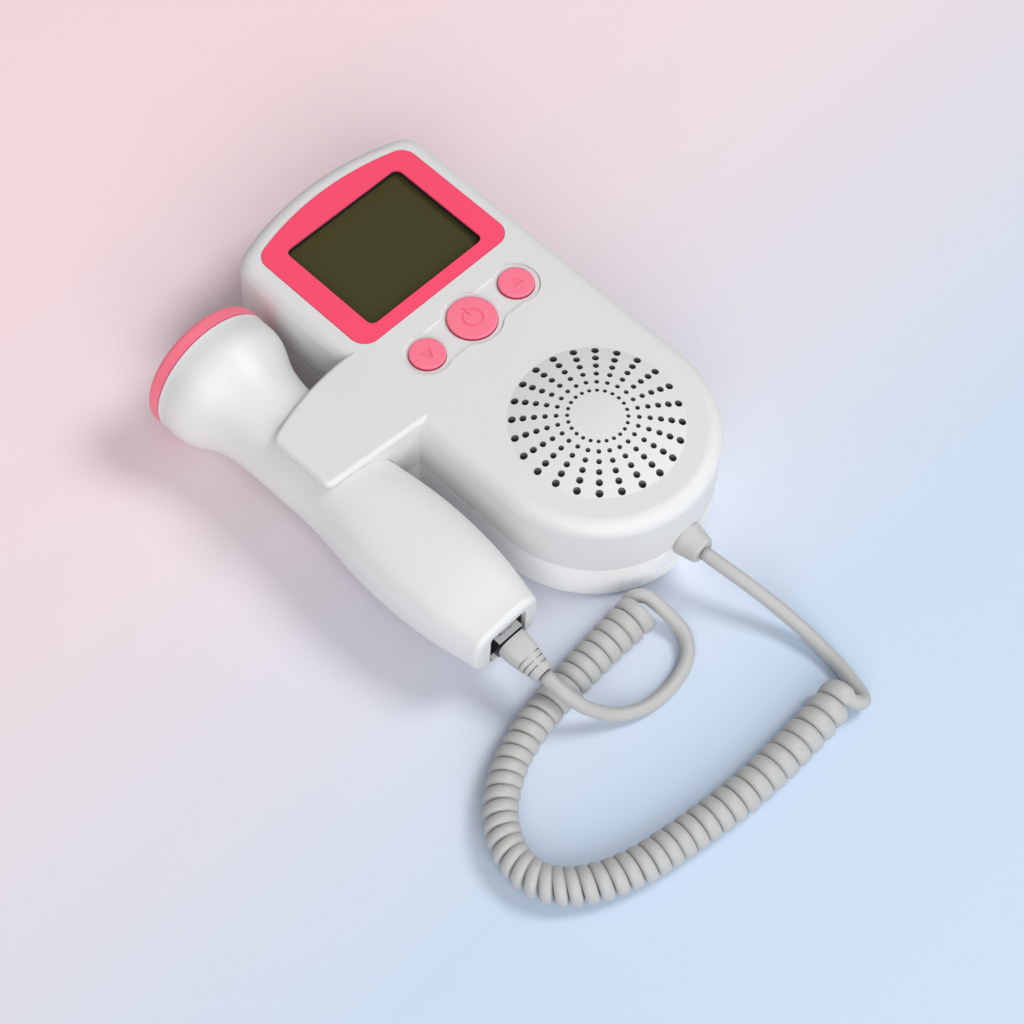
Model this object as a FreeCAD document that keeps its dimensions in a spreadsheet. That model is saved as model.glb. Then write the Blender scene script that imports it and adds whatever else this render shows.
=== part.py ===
"""A pocket fetal doppler: a display unit with a side cradle, a hand probe clipped into
the cradle, and the curly cord that joins the two. Millimetres, +Z up. The unit lies on
its back; the origin is on its base plane, under the centre of the loudspeaker grille.
+Y runs from the grille to the display, +X to the unit's right."""
import FreeCAD, Part
import math
import os
from types import SimpleNamespace

import Sketcher
from FreeCAD import Placement, Rotation, Vector

doc = FreeCAD.newDocument("FetalDoppler")
sheet = doc.addObject("Spreadsheet::Sheet", "Sizes")

# Each driving size, once: its alias in the sheet, its number and what it measures.
SIZES = [
    # display unit, outside
    ("half_width", 31.5, "half the unit's width and the radius of its round end"),
    ("reach", 104.4, "from the grille's centre to the top of the head"),
    ("head_radius", 80.0, "arched top edge, seen from above"),
    ("corner_round", 7.0, "the head's two corners, seen from above"),
    ("top_round", 4.0, "edge between the front face and the walls"),
    ("base_round", 2.0, "edge between the back and the walls"),
    ("wall", 2.0, "thickness of the shells"),
    ("seam_height", 13.5, "where the front and rear shells meet"),
    ("seam_groove", 0.3, "fine groove moulded along the seam"),
    ("lip_wall", 1.0, "locating lip inside the seam"),
    ("lip_height", 1.5, "how far the lip stands over the seam"),
    ("fit", 0.15, "clearance all round a piece that slides or drops in"),
    # cradle
    ("cradle_gap", 0.4, "room between the probe's neck and the cradle"),
    ("cradle_side_gap", 0.6, "room beside the neck, towards the unit"),
    ("arm_skin", 1.7, "upper arm over the neck's crown"),
    ("arm_low_skin", 3.2, "lower arm under the neck"),
    ("arm_reach", 7.8, "how far the arms go past the neck's axis"),
    ("arm_start", 29.85, "the arm's lower edge, at the unit's side"),
    ("arm_slope", 2.45, "how much that edge rises towards the arm's tip"),
    ("arm_end", 57.3, "the arm's upper edge, at the unit's side"),
    ("arm_arc_radius", 80.0, "that upper edge falls away on this arc"),
    ("arm_corner", 2.0, "the tip's corners, seen from above"),
    ("arm_edge", 1.2, "rounding of the arm's top and bottom edges"),
    ("arm_cavity_wall", 2.2, "plastic left round the hollow of the arm's root"),
    # loudspeaker grille
    ("dome_rise", 3.0, "height of the grille's dome over the front face"),
    ("dome_radius", 22.2, "foot of the dome"),
    ("dome_wall", 1.6, "thickness of the dome"),
    ("ring_first", 7.52, "radius of the innermost ring of holes"),
    ("ring_step", 2.696, "from one ring to the next"),
    ("hole_first", 1.06, "hole diameter on the innermost ring"),
    ("hole_step", 0.18, "growth of the hole diameter from ring to ring"),
    # display
    ("bezel_half_width", 26.3, "coloured surround of the display"),
    ("bezel_inset", 5.3, "from the top of the head to the surround's arched edge"),
    ("bezel_length", 43.8, "from that crown to its lower edge"),
    ("bezel_corner", 4.6, "its corners"),
    ("bezel_sheet", 0.6, "its thickness"),
    ("bezel_proud", 0.1, "how far it stands over the front face"),
    ("window_width", 39.7, "window in the surround"),
    ("window_length", 32.2, "window in the surround"),
    ("window_inset", 29.15, "its centre, from the top of the head"),
    ("window_corner", 2.0, "its corners"),
    ("mask_wall", 0.8, "black frame lining the window"),
    ("glass_width", 44.0, "display glass"),
    ("glass_length", 35.0, "display glass"),
    ("glass_thickness", 2.0, "display glass"),
    ("light_thickness", 3.4, "backlight under the glass"),
    ("light_margin", 2.6, "glass edge left bare for the contact strips"),
    ("carrier_wall", 1.8, "frame that holds the backlight off the board"),
    ("strip_width", 1.6, "rubber contact strips"),
    ("strip_length", 36.0, "rubber contact strips"),
    # buttons
    ("button_drop", 11.86, "the three buttons' centres, from the surround's lower edge"),
    ("button_pitch", 15.83, "from the middle button to each side one"),
    ("power_radius", 6.6, "middle button"),
    ("side_radius", 4.8, "side buttons"),
    ("button_proud", 0.45, "buttons over the front face"),
    ("button_flange", 1.1, "flange that keeps a button in its hole"),
    ("button_flange_thickness", 1.2, "flange that keeps a button in its hole"),
    ("button_travel", 0.5, "how far a button goes down"),
    ("button_fit", 0.1, "clearance of a button in its hole"),
    ("button_crown", 0.5, "rounding of a button's upper edge"),
    ("stem_radius", 2.2, "post under each button"),
    ("symbol_depth", 0.25, "moulded symbols in the buttons"),
    ("symbol_line", 0.6, "width of their lines"),
    ("symbol_radius", 2.9, "outside radius of the power symbol"),
    ("arrow_radius", 2.0, "corner circle of the triangles"),
    ("panel_depth", 0.6, "sunk panel round the buttons"),
    ("panel_power_margin", 1.55, "panel beyond each button"),
    ("panel_waist", 5.6, "half the panel's width between two buttons"),
    ("switch_side", 6.0, "tactile switch body"),
    ("switch_height", 3.5, "tactile switch body"),
    ("plunger_radius", 1.7, "tactile switch plunger"),
    ("plunger_height", 1.5, "plunger over the switch body"),
    ("plunger_fit", 0.05, "clearance of the plunger in its switch"),
    # boards and screws
    ("board_thickness", 1.6, "main board"),
    ("board_half_width", 27.3, "main board"),
    ("board_drop", 9.44, "its lower edge, from the buttons' centres"),
    ("board_inset", 11.4, "its upper edge, from the top of the head"),
    ("post_radius", 2.6, "posts that carry the board"),
    ("post_side", 24.8, "those posts from the middle line"),
    ("post_low_inset", 6.0, "lower pair of posts from the board's edge"),
    ("post_high_inset", 5.0, "upper pair of posts from the board's edge"),
    ("footprint", 1.0, "grid that the components' footprints keep to"),
    ("tallest_share", 0.705, "the tallest component fills this share of the room under the backlight"),
    ("small_screw_radius", 1.0, "board and probe screws"),
    ("small_head_radius", 2.0, "board and probe screws"),
    ("small_head_height", 1.3, "board and probe screws"),
    ("small_screw_length", 6.0, "board and probe screws under the head"),
    ("boss_radius", 2.9, "screw bosses of the shells"),
    ("boss_low_side", 24.0, "lower bosses from the middle line"),
    ("boss_high_side", 22.0, "upper bosses from the middle line"),
    ("boss_inset", 8.2, "upper bosses from the top of the head"),
    ("screw_radius", 1.3, "housing screws"),
    ("screw_head_radius", 2.2, "housing screws"),
    ("screw_head_height", 1.8, "housing screws"),
    ("screw_sink", 6.0, "depth of the holes that take the screw heads"),
    ("screw_length", 16.0, "housing screws under the head"),
    # loudspeaker
    ("speaker_radius", 19.5, "loudspeaker's rim"),
    ("speaker_rim", 3.0, "width of the rim"),
    ("speaker_rim_thickness", 1.0, "rim"),
    ("magnet_gap", 0.5, "loudspeaker over the battery bay"),
    ("basket_wall", 0.8, "basket"),
    ("gasket_thickness", 0.8, "foam ring between the rim and the shell"),
    ("magnet_radius", 9.0, "loudspeaker's magnet"),
    ("magnet_height", 3.0, "loudspeaker's magnet"),
    ("cone_wall", 0.4, "loudspeaker's cone"),
    ("cloth_thickness", 0.3, "dust cloth behind the grille"),
    # batteries and their door
    ("cell_radius", 7.2, "AA cell"),
    ("cell_length", 50.5, "AA cell with its nub"),
    ("nub_radius", 2.7, "the cell's positive nub"),
    ("nub_height", 1.0, "the cell's positive nub"),
    ("cell_gap", 0.8, "between the two cells"),
    ("cell_lift", 0.3, "cells over the door"),
    ("spring_length", 4.7, "battery spring, squeezed"),
    ("spring_radius", 3.2, "battery spring"),
    ("spring_wire", 0.4, "radius of its wire"),
    ("plate_thickness", 0.4, "battery contact plates"),
    ("plate_width", 12.0, "battery contact plates"),
    ("bay_start", -24.5, "inside of the battery bay, lower end"),
    ("bay_margin", 0.4, "room beside the cells"),
    ("bay_wall", 1.1, "walls of the battery bay"),
    ("door_ledge", 1.5, "bay wall over the door's edge"),
    ("door_rim_height", 7.0, "end wall that comes away with the door"),
    ("door_tongue", 1.0, "tongues along the door's edges"),
    ("tongue_length", 3.4, "tongues along the door's edges"),
    ("tongue_thickness", 0.9, "tongues along the door's edges"),
    ("door_travel", 4.0, "slide that frees the tongues"),
    ("grip_depth", 0.5, "finger grooves in the door"),
    # strain relief on the unit
    ("relief_side", 0.6, "strain relief from the middle line"),
    ("relief_base_radius", 4.6, "strain relief at the wall"),
    ("relief_end_radius", 3.7, "strain relief at its end"),
    ("relief_length", 5.9, "strain relief outside the wall"),
    ("relief_neck_radius", 3.2, "strain relief in the wall"),
    ("relief_flange", 1.5, "flange inside the wall"),
    # probe
    ("probe_head_radius", 18.24, "round head of the probe"),
    ("head_clearance", 0.3, "probe head over the surface that the unit lies on"),
    ("head_gap", 2.66, "between the probe head and the unit's side"),
    ("probe_joint", 83.8, "where the head's shells meet the cap ring"),
    ("probe_tail", -21.5, "tail end of the probe"),
    ("probe_wall", 1.8, "probe shells"),
    ("belly_step", 0.49, "the head's radius has lost this by its belly"),
    ("belly_place", 7.3, "belly behind the cap ring"),
    ("shoulder_step", 3.49, "the head's radius has lost this by its shoulder"),
    ("shoulder_place", 13.8, "shoulder behind the cap ring"),
    ("throat_place", 20.0, "throat behind the cap ring"),
    ("throat_half_width", 13.2, "between head and neck"),
    ("throat_half_height", 12.6, "between head and neck"),
    ("neck_half_width", 12.6, "neck, in the cradle"),
    ("neck_half_height", 11.4, "neck, in the cradle"),
    ("grip_half_width", 14.4, "widest place of the grip"),
    ("grip_half_height", 11.1, "widest place of the grip"),
    ("rear_half_width", 13.85, "grip, towards the tail"),
    ("rear_half_height", 10.5, "grip, towards the tail"),
    ("hip_half_width", 12.4, "near the tail"),
    ("hip_half_height", 9.4, "near the tail"),
    ("tail_half_width", 10.7, "tail face"),
    ("tail_half_height", 8.4, "tail face"),
    ("tail_round", 1.6, "rounding of the tail's rim"),
    ("tail_drop", 0.55, "the grip bends down to the tail by this much"),
    ("cap_depth", 4.3, "coloured ring round the probe's face"),
    ("cap_round", 1.3, "rounding of the ring's front edge"),
    ("cap_spigot", 3.0, "part of the ring inside the shells"),
    ("ring_wall", 2.84, "cap ring round the face"),
    ("face_thickness", 3.0, "face that sends and hears the sound"),
    ("cup_depth", 7.0, "cup behind the face"),
    ("cup_wall", 1.2, "cup behind the face"),
    ("crystal_margin", 2.9, "the face reaches this far past the two half-round crystals"),
    ("crystal_thickness", 1.2, "the two half-round crystals"),
    ("crystal_split", 1.0, "gap between the two crystals"),
    ("probe_board_width", 15.0, "probe's board"),
    ("probe_board_start", -3.0, "probe's board, tail end"),
    ("probe_board_end", 68.0, "probe's board, head end"),
    ("probe_board_thickness", 1.2, "probe's board"),
    ("probe_post_radius", 2.4, "screw posts in the probe"),
    ("probe_screw_low", 5.0, "lower screw post"),
    ("probe_screw_high", 61.0, "upper screw post"),
    ("probe_travel", 40.0, "how far the probe is drawn out of the cradle"),
    # socket, plug and boot
    ("mouth_width", 12.0, "opening in the tail"),
    ("mouth_height", 11.6, "opening in the tail"),
    ("mouth_corner", 1.5, "opening in the tail"),
    ("mouth_drop", 1.2, "opening's centre under the probe's axis"),
    ("plug_drop", 1.1, "plug's centre under the opening's centre"),
    ("face_depth", 1.3, "from the tail face to the socket's black front"),
    ("face_fit", 0.1, "socket's front in the opening, all round"),
    ("mouth_depth", 5.5, "from the tail face to the bottom of the opening"),
    ("jack_length", 12.0, "socket behind the opening"),
    ("jack_wall", 1.0, "socket walls round the plug"),
    ("plug_width", 7.65, "modular plug"),
    ("plug_height", 6.6, "modular plug"),
    ("plug_in", 10.0, "plug inside the socket"),
    ("plug_fit", 0.1, "plug in its socket"),
    ("latch_width", 3.6, "plug's latch"),
    ("latch_thickness", 0.7, "plug's latch"),
    ("boot_start", 1.0, "boot over the plug's rear end, outside the tail face"),
    ("boot_length", 11.4, "boot"),
    ("boot_width", 7.8, "boot where it meets the plug"),
    ("boot_height", 6.6, "boot where it meets the plug"),
    ("boot_end_radius", 2.75, "boot where the cord comes out"),
    ("boot_tilt", 9.0, "the boot hangs down by this many degrees"),
    # cord
    ("cord_diameter", 3.7, "cord"),
    ("coil_diameter", 9.7, "outside of the coiled stretch"),
    ("floor_gap", 0.05, "cord over the surface that it lies on"),
    ("cord_gap", 0.3, "between the boot and the cord's end"),
]


class Size:
    """A length from the sheet, or worked out from it: its number now, and the expression
    that gives the same number inside the document."""

    def __init__(self, value, text):
        self.value = float(value)
        self.text = text

    def __float__(self):
        return self.value

    def __add__(self, other):
        return Size(self.value + float(other), f"({self.text} + {text_of(other)})")

    def __radd__(self, other):
        return self + other

    def __sub__(self, other):
        return Size(self.value - float(other), f"({self.text} - {text_of(other)})")

    def __rsub__(self, other):
        return Size(float(other) - self.value, f"({text_of(other)} - {self.text})")

    def __mul__(self, other):
        return Size(self.value * float(other), f"({self.text} * {text_of(other)})")

    def __rmul__(self, other):
        return self * other

    def __truediv__(self, other):
        return Size(self.value / float(other), f"({self.text} / {text_of(other)})")

    def __neg__(self):
        return Size(-self.value, f"(0 - {self.text})")


def text_of(length):
    return length.text if isinstance(length, Size) else repr(float(length))


def read_sizes():
    """Fill the sheet, then read every size back from it."""
    for row, (alias, value, note) in enumerate(SIZES, 1):
        sheet.set(f"A{row}", alias)
        sheet.set(f"B{row}", str(value))
        sheet.set(f"C{row}", note)
        sheet.setAlias(f"B{row}", alias)
    doc.recompute()
    return SimpleNamespace(**{alias: Size(sheet.get(alias), f"Sizes.{alias}") for alias, _, _ in SIZES})


s = read_sizes()

# ---------------------------------------------------------------- places that follow
probe_x = -(s.half_width + s.head_gap + s.probe_head_radius)
probe_z = s.head_clearance + s.probe_head_radius
slot_half_height = s.neck_half_height + s.cradle_gap
slot_half_width = s.neck_half_width + s.cradle_side_gap
height = probe_z + slot_half_height + s.arm_skin
ceiling = height - s.wall
inner_half_width = s.half_width - s.wall
bezel_high = s.reach - s.bezel_inset
bezel_low = bezel_high - s.bezel_length
window_centre = s.reach - s.window_inset
button_line = bezel_low - s.button_drop
board_low = button_line - s.board_drop
board_high = s.reach - s.board_inset
post_low = board_low + s.post_low_inset
post_high = board_high - s.post_high_inset
boss_high = s.reach - s.boss_inset
face_radius = s.probe_head_radius - s.ring_wall
crystal_radius = face_radius - s.crystal_margin
glass_top = ceiling
glass_bottom = glass_top - s.glass_thickness
light_bottom = glass_bottom - s.light_thickness
cell_z = s.wall + s.cell_lift + s.cell_radius
cell_x = s.cell_gap / 2 + s.cell_radius
bay_half_width = cell_x + s.cell_radius + s.bay_margin
bay_length = s.cell_length + s.spring_length + 2 * s.plate_thickness
bay_end = s.bay_start + bay_length
bay_top = cell_z + s.cell_radius + s.bay_margin
door_half_width = bay_half_width + s.door_ledge
door_end = bay_end + s.door_ledge
board_z = bay_top + s.bay_wall + 0.3
board_top = board_z + s.board_thickness
flange_top = ceiling - s.fit
flange_bottom = flange_top - s.button_flange_thickness
plunger_top = board_top + s.switch_height + s.plunger_height
button_top = height + s.button_proud
gasket_bottom = ceiling - s.gasket_thickness
rim_bottom = gasket_bottom - s.speaker_rim_thickness
basket_bottom = bay_top + s.bay_wall + s.magnet_gap + s.magnet_height
speaker_depth = rim_bottom - basket_bottom
tallest_part = (light_bottom - board_top) * s.tallest_share
relief_z = s.seam_height
relief_base_y = -(s.half_width + 0.02)
cap_front = s.probe_joint + s.cap_depth
mouth_z = probe_z - s.mouth_drop
plug_z = mouth_z - s.plug_drop
jack_face = s.probe_tail + s.mouth_depth
plug_top = plug_z + s.plug_height / 2
BUTTONS = [
    ("power", Size(0, "0"), s.power_radius),
    ("down", -s.button_pitch, s.side_radius),
    ("up", s.button_pitch, s.side_radius),
]

ALONG_Y = Rotation(Vector(1, 0, 0), -90)
nodes = []


# ---------------------------------------------------------------- building blocks
def bind(obj, path, length):
    """Tie one property of an object to a size."""
    if isinstance(length, Size):
        obj.setExpression(path, length.text)
    else:
        obj.setExpression(path, repr(float(length)))


def place(obj, x, y, z):
    for axis, length in zip("xyz", (x, y, z)):
        bind(obj, f"Placement.Base.{axis}", length)
    return obj


def box(name, x0, x1, y0, y1, z0, z1):
    """A box between two corners."""
    obj = doc.addObject("Part::Box", name)
    bind(obj, "Length", x1 - x0)
    bind(obj, "Width", y1 - y0)
    bind(obj, "Height", z1 - z0)
    return place(obj, x0, y0, z0)


def post(name, radius, x, y, z0, z1):
    """An upright cylinder."""
    obj = doc.addObject("Part::Cylinder", name)
    bind(obj, "Radius", radius)
    bind(obj, "Height", z1 - z0)
    return place(obj, x, y, z0)


def rod(name, radius, x, z, y0, y1):
    """A cylinder along Y."""
    obj = doc.addObject("Part::Cylinder", name)
    obj.Placement = Placement(Vector(0, 0, 0), ALONG_Y)
    bind(obj, "Radius", radius)
    bind(obj, "Height", y1 - y0)
    return place(obj, x, y0, z)


def ball(name, radius, x, y, z):
    obj = doc.addObject("Part::Sphere", name)
    bind(obj, "Radius", radius)
    return place(obj, x, y, z)


def fuse(name, *parts):
    obj = doc.addObject("Part::MultiFuse", name)
    obj.Shapes = list(parts)
    obj.Refine = True
    return obj


def cut(name, base, *tools):
    obj = doc.addObject("Part::Cut", name)
    obj.Base = base
    obj.Tool = tools[0] if len(tools) == 1 else fuse(name + "_tools", *tools)
    return obj


def common(name, base, tool):
    obj = doc.addObject("Part::Common", name)
    obj.Base = base
    obj.Tool = tool
    return obj


def rounded(name, base, radius, pick):
    """The base with the edges that pick() names rounded."""
    doc.recompute()
    obj = doc.addObject("Part::Fillet", name)
    obj.Base = base
    chosen = [index for index, edge in enumerate(base.Shape.Edges, 1) if pick(edge)]
    obj.Edges = [(index, float(radius), float(radius)) for index in chosen]
    doc.recompute()
    return obj


def level(z):
    """Picks the edges that lie flat at a height."""
    return lambda edge: all(abs(v.Z - float(z)) < 1e-4 for v in edge.Vertexes) and \
        edge.BoundBox.ZLength < 1e-4


def upright(inside):
    """Picks the upright edges whose place seen from above passes the test."""
    def pick(edge):
        box_ = edge.BoundBox
        straight = box_.XLength < 1e-4 and box_.YLength < 1e-4 and box_.ZLength > 1e-3
        return straight and inside(box_.Center.x, box_.Center.y)
    return pick


def new_body(name, plane_role):
    """A PartDesign body and a sketch on one of its origin planes."""
    body = doc.addObject("PartDesign::Body", name)
    sketch = body.newObject("Sketcher::SketchObject", name + "_sketch")
    plane = next(f for f in body.Origin.OriginFeatures if f.Role == plane_role)
    sketch.AttachmentSupport = [(plane, "")]
    sketch.MapMode = "FlatFace"
    return body, sketch


def tie_point(sketch, geometry, position, across, along):
    """Dimension one point of a sketch from the sketch's origin."""
    for kind, length in (("DistanceX", across), ("DistanceY", along)):
        number = sketch.addConstraint(
            Sketcher.Constraint(kind, -1, 1, geometry, position, float(length))
        )
        bind(sketch, f"Constraints[{number}]", length)


def draw_polygon(sketch, corners):
    first = sketch.GeometryCount
    count = len(corners)
    for index in range(count):
        here = corners[index]
        after = corners[(index + 1) % count]
        start = Vector(float(here[0]), float(here[1]), 0)
        end = Vector(float(after[0]), float(after[1]), 0)
        sketch.addGeometry(Part.LineSegment(start, end), False)
    for index in range(count):
        sketch.addConstraint(
            Sketcher.Constraint("Coincident", first + index, 2, first + (index + 1) % count, 1)
        )
    for index, (across, along) in enumerate(corners):
        tie_point(sketch, first + index, 1, across, along)


def draw_circle(sketch, x, y, radius):
    centre = Vector(float(x), float(y), 0)
    index = sketch.addGeometry(Part.Circle(centre, Vector(0, 0, 1), float(radius)), False)
    tie_point(sketch, index, 3, x, y)
    number = sketch.addConstraint(Sketcher.Constraint("Radius", index, float(radius)))
    bind(sketch, f"Constraints[{number}]", radius)


def turned(name, profile, x=0, y=0, z=0, axis="Z"):
    """A turned piece: its half profile, as (radius, place along the axis), goes round."""
    body, sketch = new_body(name, "XZ_Plane" if axis == "Z" else "XY_Plane")
    draw_polygon(sketch, profile)
    turn = body.newObject("PartDesign::Revolution", name + "_turn")
    turn.Profile = sketch
    turn.ReferenceAxis = (sketch, ["V_Axis"])
    turn.Angle = 360
    return place(body, x, y, z)


def plate(name, corners, z0, z1, holes=()):
    """A flat piece: an outline seen from above, with round holes, made z0 to z1 thick."""
    body, sketch = new_body(name, "XY_Plane")
    draw_polygon(sketch, corners)
    for x, y, radius in holes:
        draw_circle(sketch, x, y, radius)
    pad = body.newObject("PartDesign::Pad", name + "_pad")
    pad.Profile = sketch
    bind(pad, "Length", z1 - z0)
    return place(body, 0, 0, z0)


def rectangle(x0, x1, y0, y1):
    return [(x0, y0), (x1, y0), (x1, y1), (x0, y1)]


def feature(name, shape):
    """A piece whose shape is worked out below, in Part's own terms."""
    obj = doc.addObject("Part::Feature", name)
    obj.Shape = shape
    obj.Placement = Placement()
    return obj


def node(label, obj):
    """Name a finished sub-part; its label names its file."""
    obj.Label = label
    nodes.append(obj)
    return obj


# ---------------------------------------------------------------- display unit: shells
def unit_outline(name, inset, z0, z1):
    """The unit seen from above: a round end, straight flanks and an arched head."""
    side = s.half_width - inset
    round_end = post(name + "_end", side, 0, 0, z0, z1)
    flanks = box(name + "_flanks", -side, side, Size(0, "0"), s.reach - inset + 1, z0, z1)
    arch = post(name + "_arch", s.head_radius - inset, 0, s.reach - s.head_radius, z0, z1)
    whole = fuse(name + "_whole", round_end, common(name + "_head", flanks, arch))
    middle = float(s.reach) / 2
    return rounded(name + "_form", whole, s.corner_round - inset, upright(lambda x, y: y > middle))


def arm_block():
    """The cradle's arm before its slot: flush with the front face, its upper edge on an arc."""
    tip = probe_x - s.arm_reach
    root = -(s.half_width - s.top_round)
    low = s.arm_start
    blank = plate(
        "arm_blank",
        [(root, low), (tip, low + s.arm_slope), (tip, s.arm_end), (root, s.arm_end)],
        probe_z - slot_half_height - s.arm_low_skin,
        height,
    )
    sweep = post(
        "arm_sweep",
        s.arm_arc_radius,
        -s.half_width,
        s.arm_end - s.arm_arc_radius,
        Size(0, "0"),
        height,
    )
    trimmed = common("arm_trimmed", blank, sweep)
    near_tip = float(tip) + 1
    cornered = rounded("arm_cornered", trimmed, s.arm_corner, upright(lambda x, y: x < near_tip))
    top = float(height)
    bottom = float(probe_z - slot_half_height - s.arm_low_skin)

    def outer_edge(edge):
        flat = level(top)(edge) or level(bottom)(edge)
        return flat and edge.BoundBox.XMin < float(root) - 1
    return rounded("arm_form", cornered, s.arm_edge, outer_edge)


def cradle_slot():
    """The cradle's hollow: open towards -X, half an oval round the neck towards the unit."""
    lowest = probe_z - slot_half_height
    highest = probe_z + slot_half_height
    opening = box(
        "slot_opening", probe_x - 3 * s.arm_reach, probe_x,
        s.arm_start - 5, s.arm_end + 5, lowest, highest,
    )
    oval = doc.addObject("Part::Ellipse", "slot_oval")
    oval.Placement = Placement(Vector(0, 0, 0), ALONG_Y)
    bind(oval, "MajorRadius", slot_half_width)
    bind(oval, "MinorRadius", slot_half_height)
    place(oval, probe_x, s.arm_start - 5, probe_z)
    tunnel = doc.addObject("Part::Extrusion", "slot_tunnel")
    tunnel.Base = oval
    tunnel.DirMode = "Custom"
    tunnel.Dir = Vector(0, 1, 0)
    tunnel.Solid = True
    bind(tunnel, "LengthFwd", s.arm_end - s.arm_start + 10)
    return fuse("cradle_slot", opening, tunnel)


def dome(name, thickness_in):
    """The grille's dome, or its underside where thickness_in is taken off."""
    rise = s.dome_rise
    foot = s.dome_radius
    sphere_radius = Size(
        (float(foot) ** 2 + float(rise) ** 2) / (2 * float(rise)),
        f"(({foot.text}) * ({foot.text}) + ({rise.text}) * ({rise.text})) / (2 * {rise.text})",
    )
    centre_z = height + rise - sphere_radius
    ball_ = ball(name + "_ball", sphere_radius - thickness_in, 0, 0, centre_z)
    return ball_


def grille_holes():
    """Six rings of holes, wider from ring to ring, repeated round the grille."""
    body, sketch = new_body("grille_holes", "XY_Plane")
    for ring in range(6):
        radius = (s.hole_first + ring * s.hole_step) / 2
        draw_circle(sketch, s.ring_first + ring * s.ring_step, 0, radius)
    pad = body.newObject("PartDesign::Pad", "grille_hole_pad")
    pad.Profile = sketch
    bind(pad, "Length", s.dome_rise + s.wall + 3)
    doc.recompute()
    spokes = body.newObject("PartDesign::PolarPattern", "grille_spokes")
    spokes.Originals = [pad]
    spokes.Axis = (sketch, ["N_Axis"])
    spokes.Angle = 360
    spokes.Occurrences = 24
    body.Tip = spokes
    return place(body, 0, 0, ceiling - 1)


def panel_recess():
    """The sunk panel: a circle round each button, joined by a waist with soft corners."""
    floor = height - s.panel_depth
    top = height + 1
    parts = []
    for name, x, radius in BUTTONS:
        parts.append(post(f"panel_{name}", radius + s.panel_power_margin, x, button_line, floor, top))
    parts.append(box(
        "panel_waist", -s.button_pitch, s.button_pitch,
        button_line - s.panel_waist, button_line + s.panel_waist, floor, top,
    ))
    whole = fuse("panel_whole", *parts)
    waist = float(s.panel_waist)
    line = float(button_line)
    pick = upright(lambda x, y: abs(abs(y - line) - waist) < 0.02)
    return rounded("panel_recess", whole, 2.6, pick)


def bezel_outline(name, grow, z0, z1):
    """The coloured surround seen from above: straight sides, an arched top, soft corners."""
    side = s.bezel_half_width + grow
    flat = box(name + "_flat", -side, side, bezel_low - grow, bezel_high + grow + 1, z0, z1)
    arch_y = bezel_high - s.head_radius
    arch = post(name + "_arch", s.head_radius + grow, 0, arch_y, z0, z1)
    whole = common(name + "_whole", flat, arch)
    return rounded(name + "_form", whole, s.bezel_corner + grow, upright(lambda x, y: True))


def window(name, grow, z0, z1):
    """The display window seen from above, grown on every side."""
    across = s.window_width / 2 + grow
    along = s.window_length / 2 + grow
    blank = box(
        name + "_blank", -across, across,
        window_centre - along, window_centre + along, z0, z1,
    )
    return rounded(name + "_form", blank, s.window_corner + grow, upright(lambda x, y: True))


def boss_places():
    """The four screws that hold the shells together."""
    return [
        (sign * side, y)
        for side, y in ((s.boss_low_side, Size(0, "0")), (s.boss_high_side, boss_high))
        for sign in (-1, 1)
    ]


def post_places():
    """The four posts that carry the main board."""
    return [
        (sign * s.post_side, y)
        for y in (post_low, post_high)
        for sign in (-1, 1)
    ]


def tongue_starts():
    """Where the door's three tongues on each side begin."""
    pitch = (door_end - s.tongue_length - 2) / 2
    return [pitch * index - s.tongue_length + s.door_travel for index in range(3)]


def door_block(name, clearance):
    """What of the shell comes away as the battery door, grown by a clearance."""
    side = door_half_width + clearance
    end = door_end + clearance
    bottom = Size(-1, "-1")
    sole = box(name + "_sole", -side, side, -s.half_width - 1, end, bottom, s.wall + clearance)
    rim_blank = box(
        name + "_rim", -side, side, -s.half_width - 1, Size(0, "0"),
        bottom, s.door_rim_height + clearance,
    )
    inside = post(name + "_inside", inner_half_width - clearance, 0, 0, -1 * s.wall, s.half_width)
    return fuse(name, sole, cut(name + "_rim_wall", rim_blank, inside))


def relief_hole(name, clearance):
    """The round way out through the end wall for the strain relief's neck."""
    return rod(
        name, s.relief_neck_radius + clearance, s.relief_side, relief_z,
        -s.half_width - 2, -inner_half_width + 4,
    )


def make_shells():
    """Form the whole housing, hollow it, then part it at the seam."""
    blank = unit_outline("unit", 0, Size(0, "0"), height)
    softened = rounded("unit_top_round", blank, s.top_round, level(height))
    softened = rounded("unit_base_round", softened, s.base_round, level(0))
    dome_ball = dome("dome", 0)
    dome_column = post("dome_column", s.dome_radius + 1, 0, 0, ceiling, height + s.dome_rise + 1)
    cap = common("dome_cap", dome_ball, dome_column)
    outside = fuse("housing_outside", softened, arm_block(), cap)
    solid = cut("housing_solid", outside, cradle_slot())

    hollow = unit_outline("hollow", s.wall, s.wall, ceiling)
    arm_hollow = box(
        "arm_hollow",
        probe_x + slot_half_width + s.arm_cavity_wall, -inner_half_width + 2,
        s.arm_start + s.arm_cavity_wall, s.arm_end - s.arm_cavity_wall,
        probe_z - slot_half_height, ceiling,
    )
    under_dome = common(
        "under_dome",
        dome("dome_under", s.dome_wall),
        post("under_dome_column", s.dome_radius - 0.4, 0, 0, ceiling - 1, height + s.dome_rise),
    )
    shell = cut("housing_shell", solid, hollow, arm_hollow, under_dome)

    wide = 2 * s.reach
    upper_half = box("upper_half", -wide, wide, -wide, wide, s.seam_height, 2 * height)
    lower_half = box("lower_half", -wide, wide, -wide, wide, Size(-5, "-5"), s.seam_height)
    front = common("front_blank", shell, upper_half)
    rear = common("rear_blank", shell, lower_half)
    return front, rear


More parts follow.
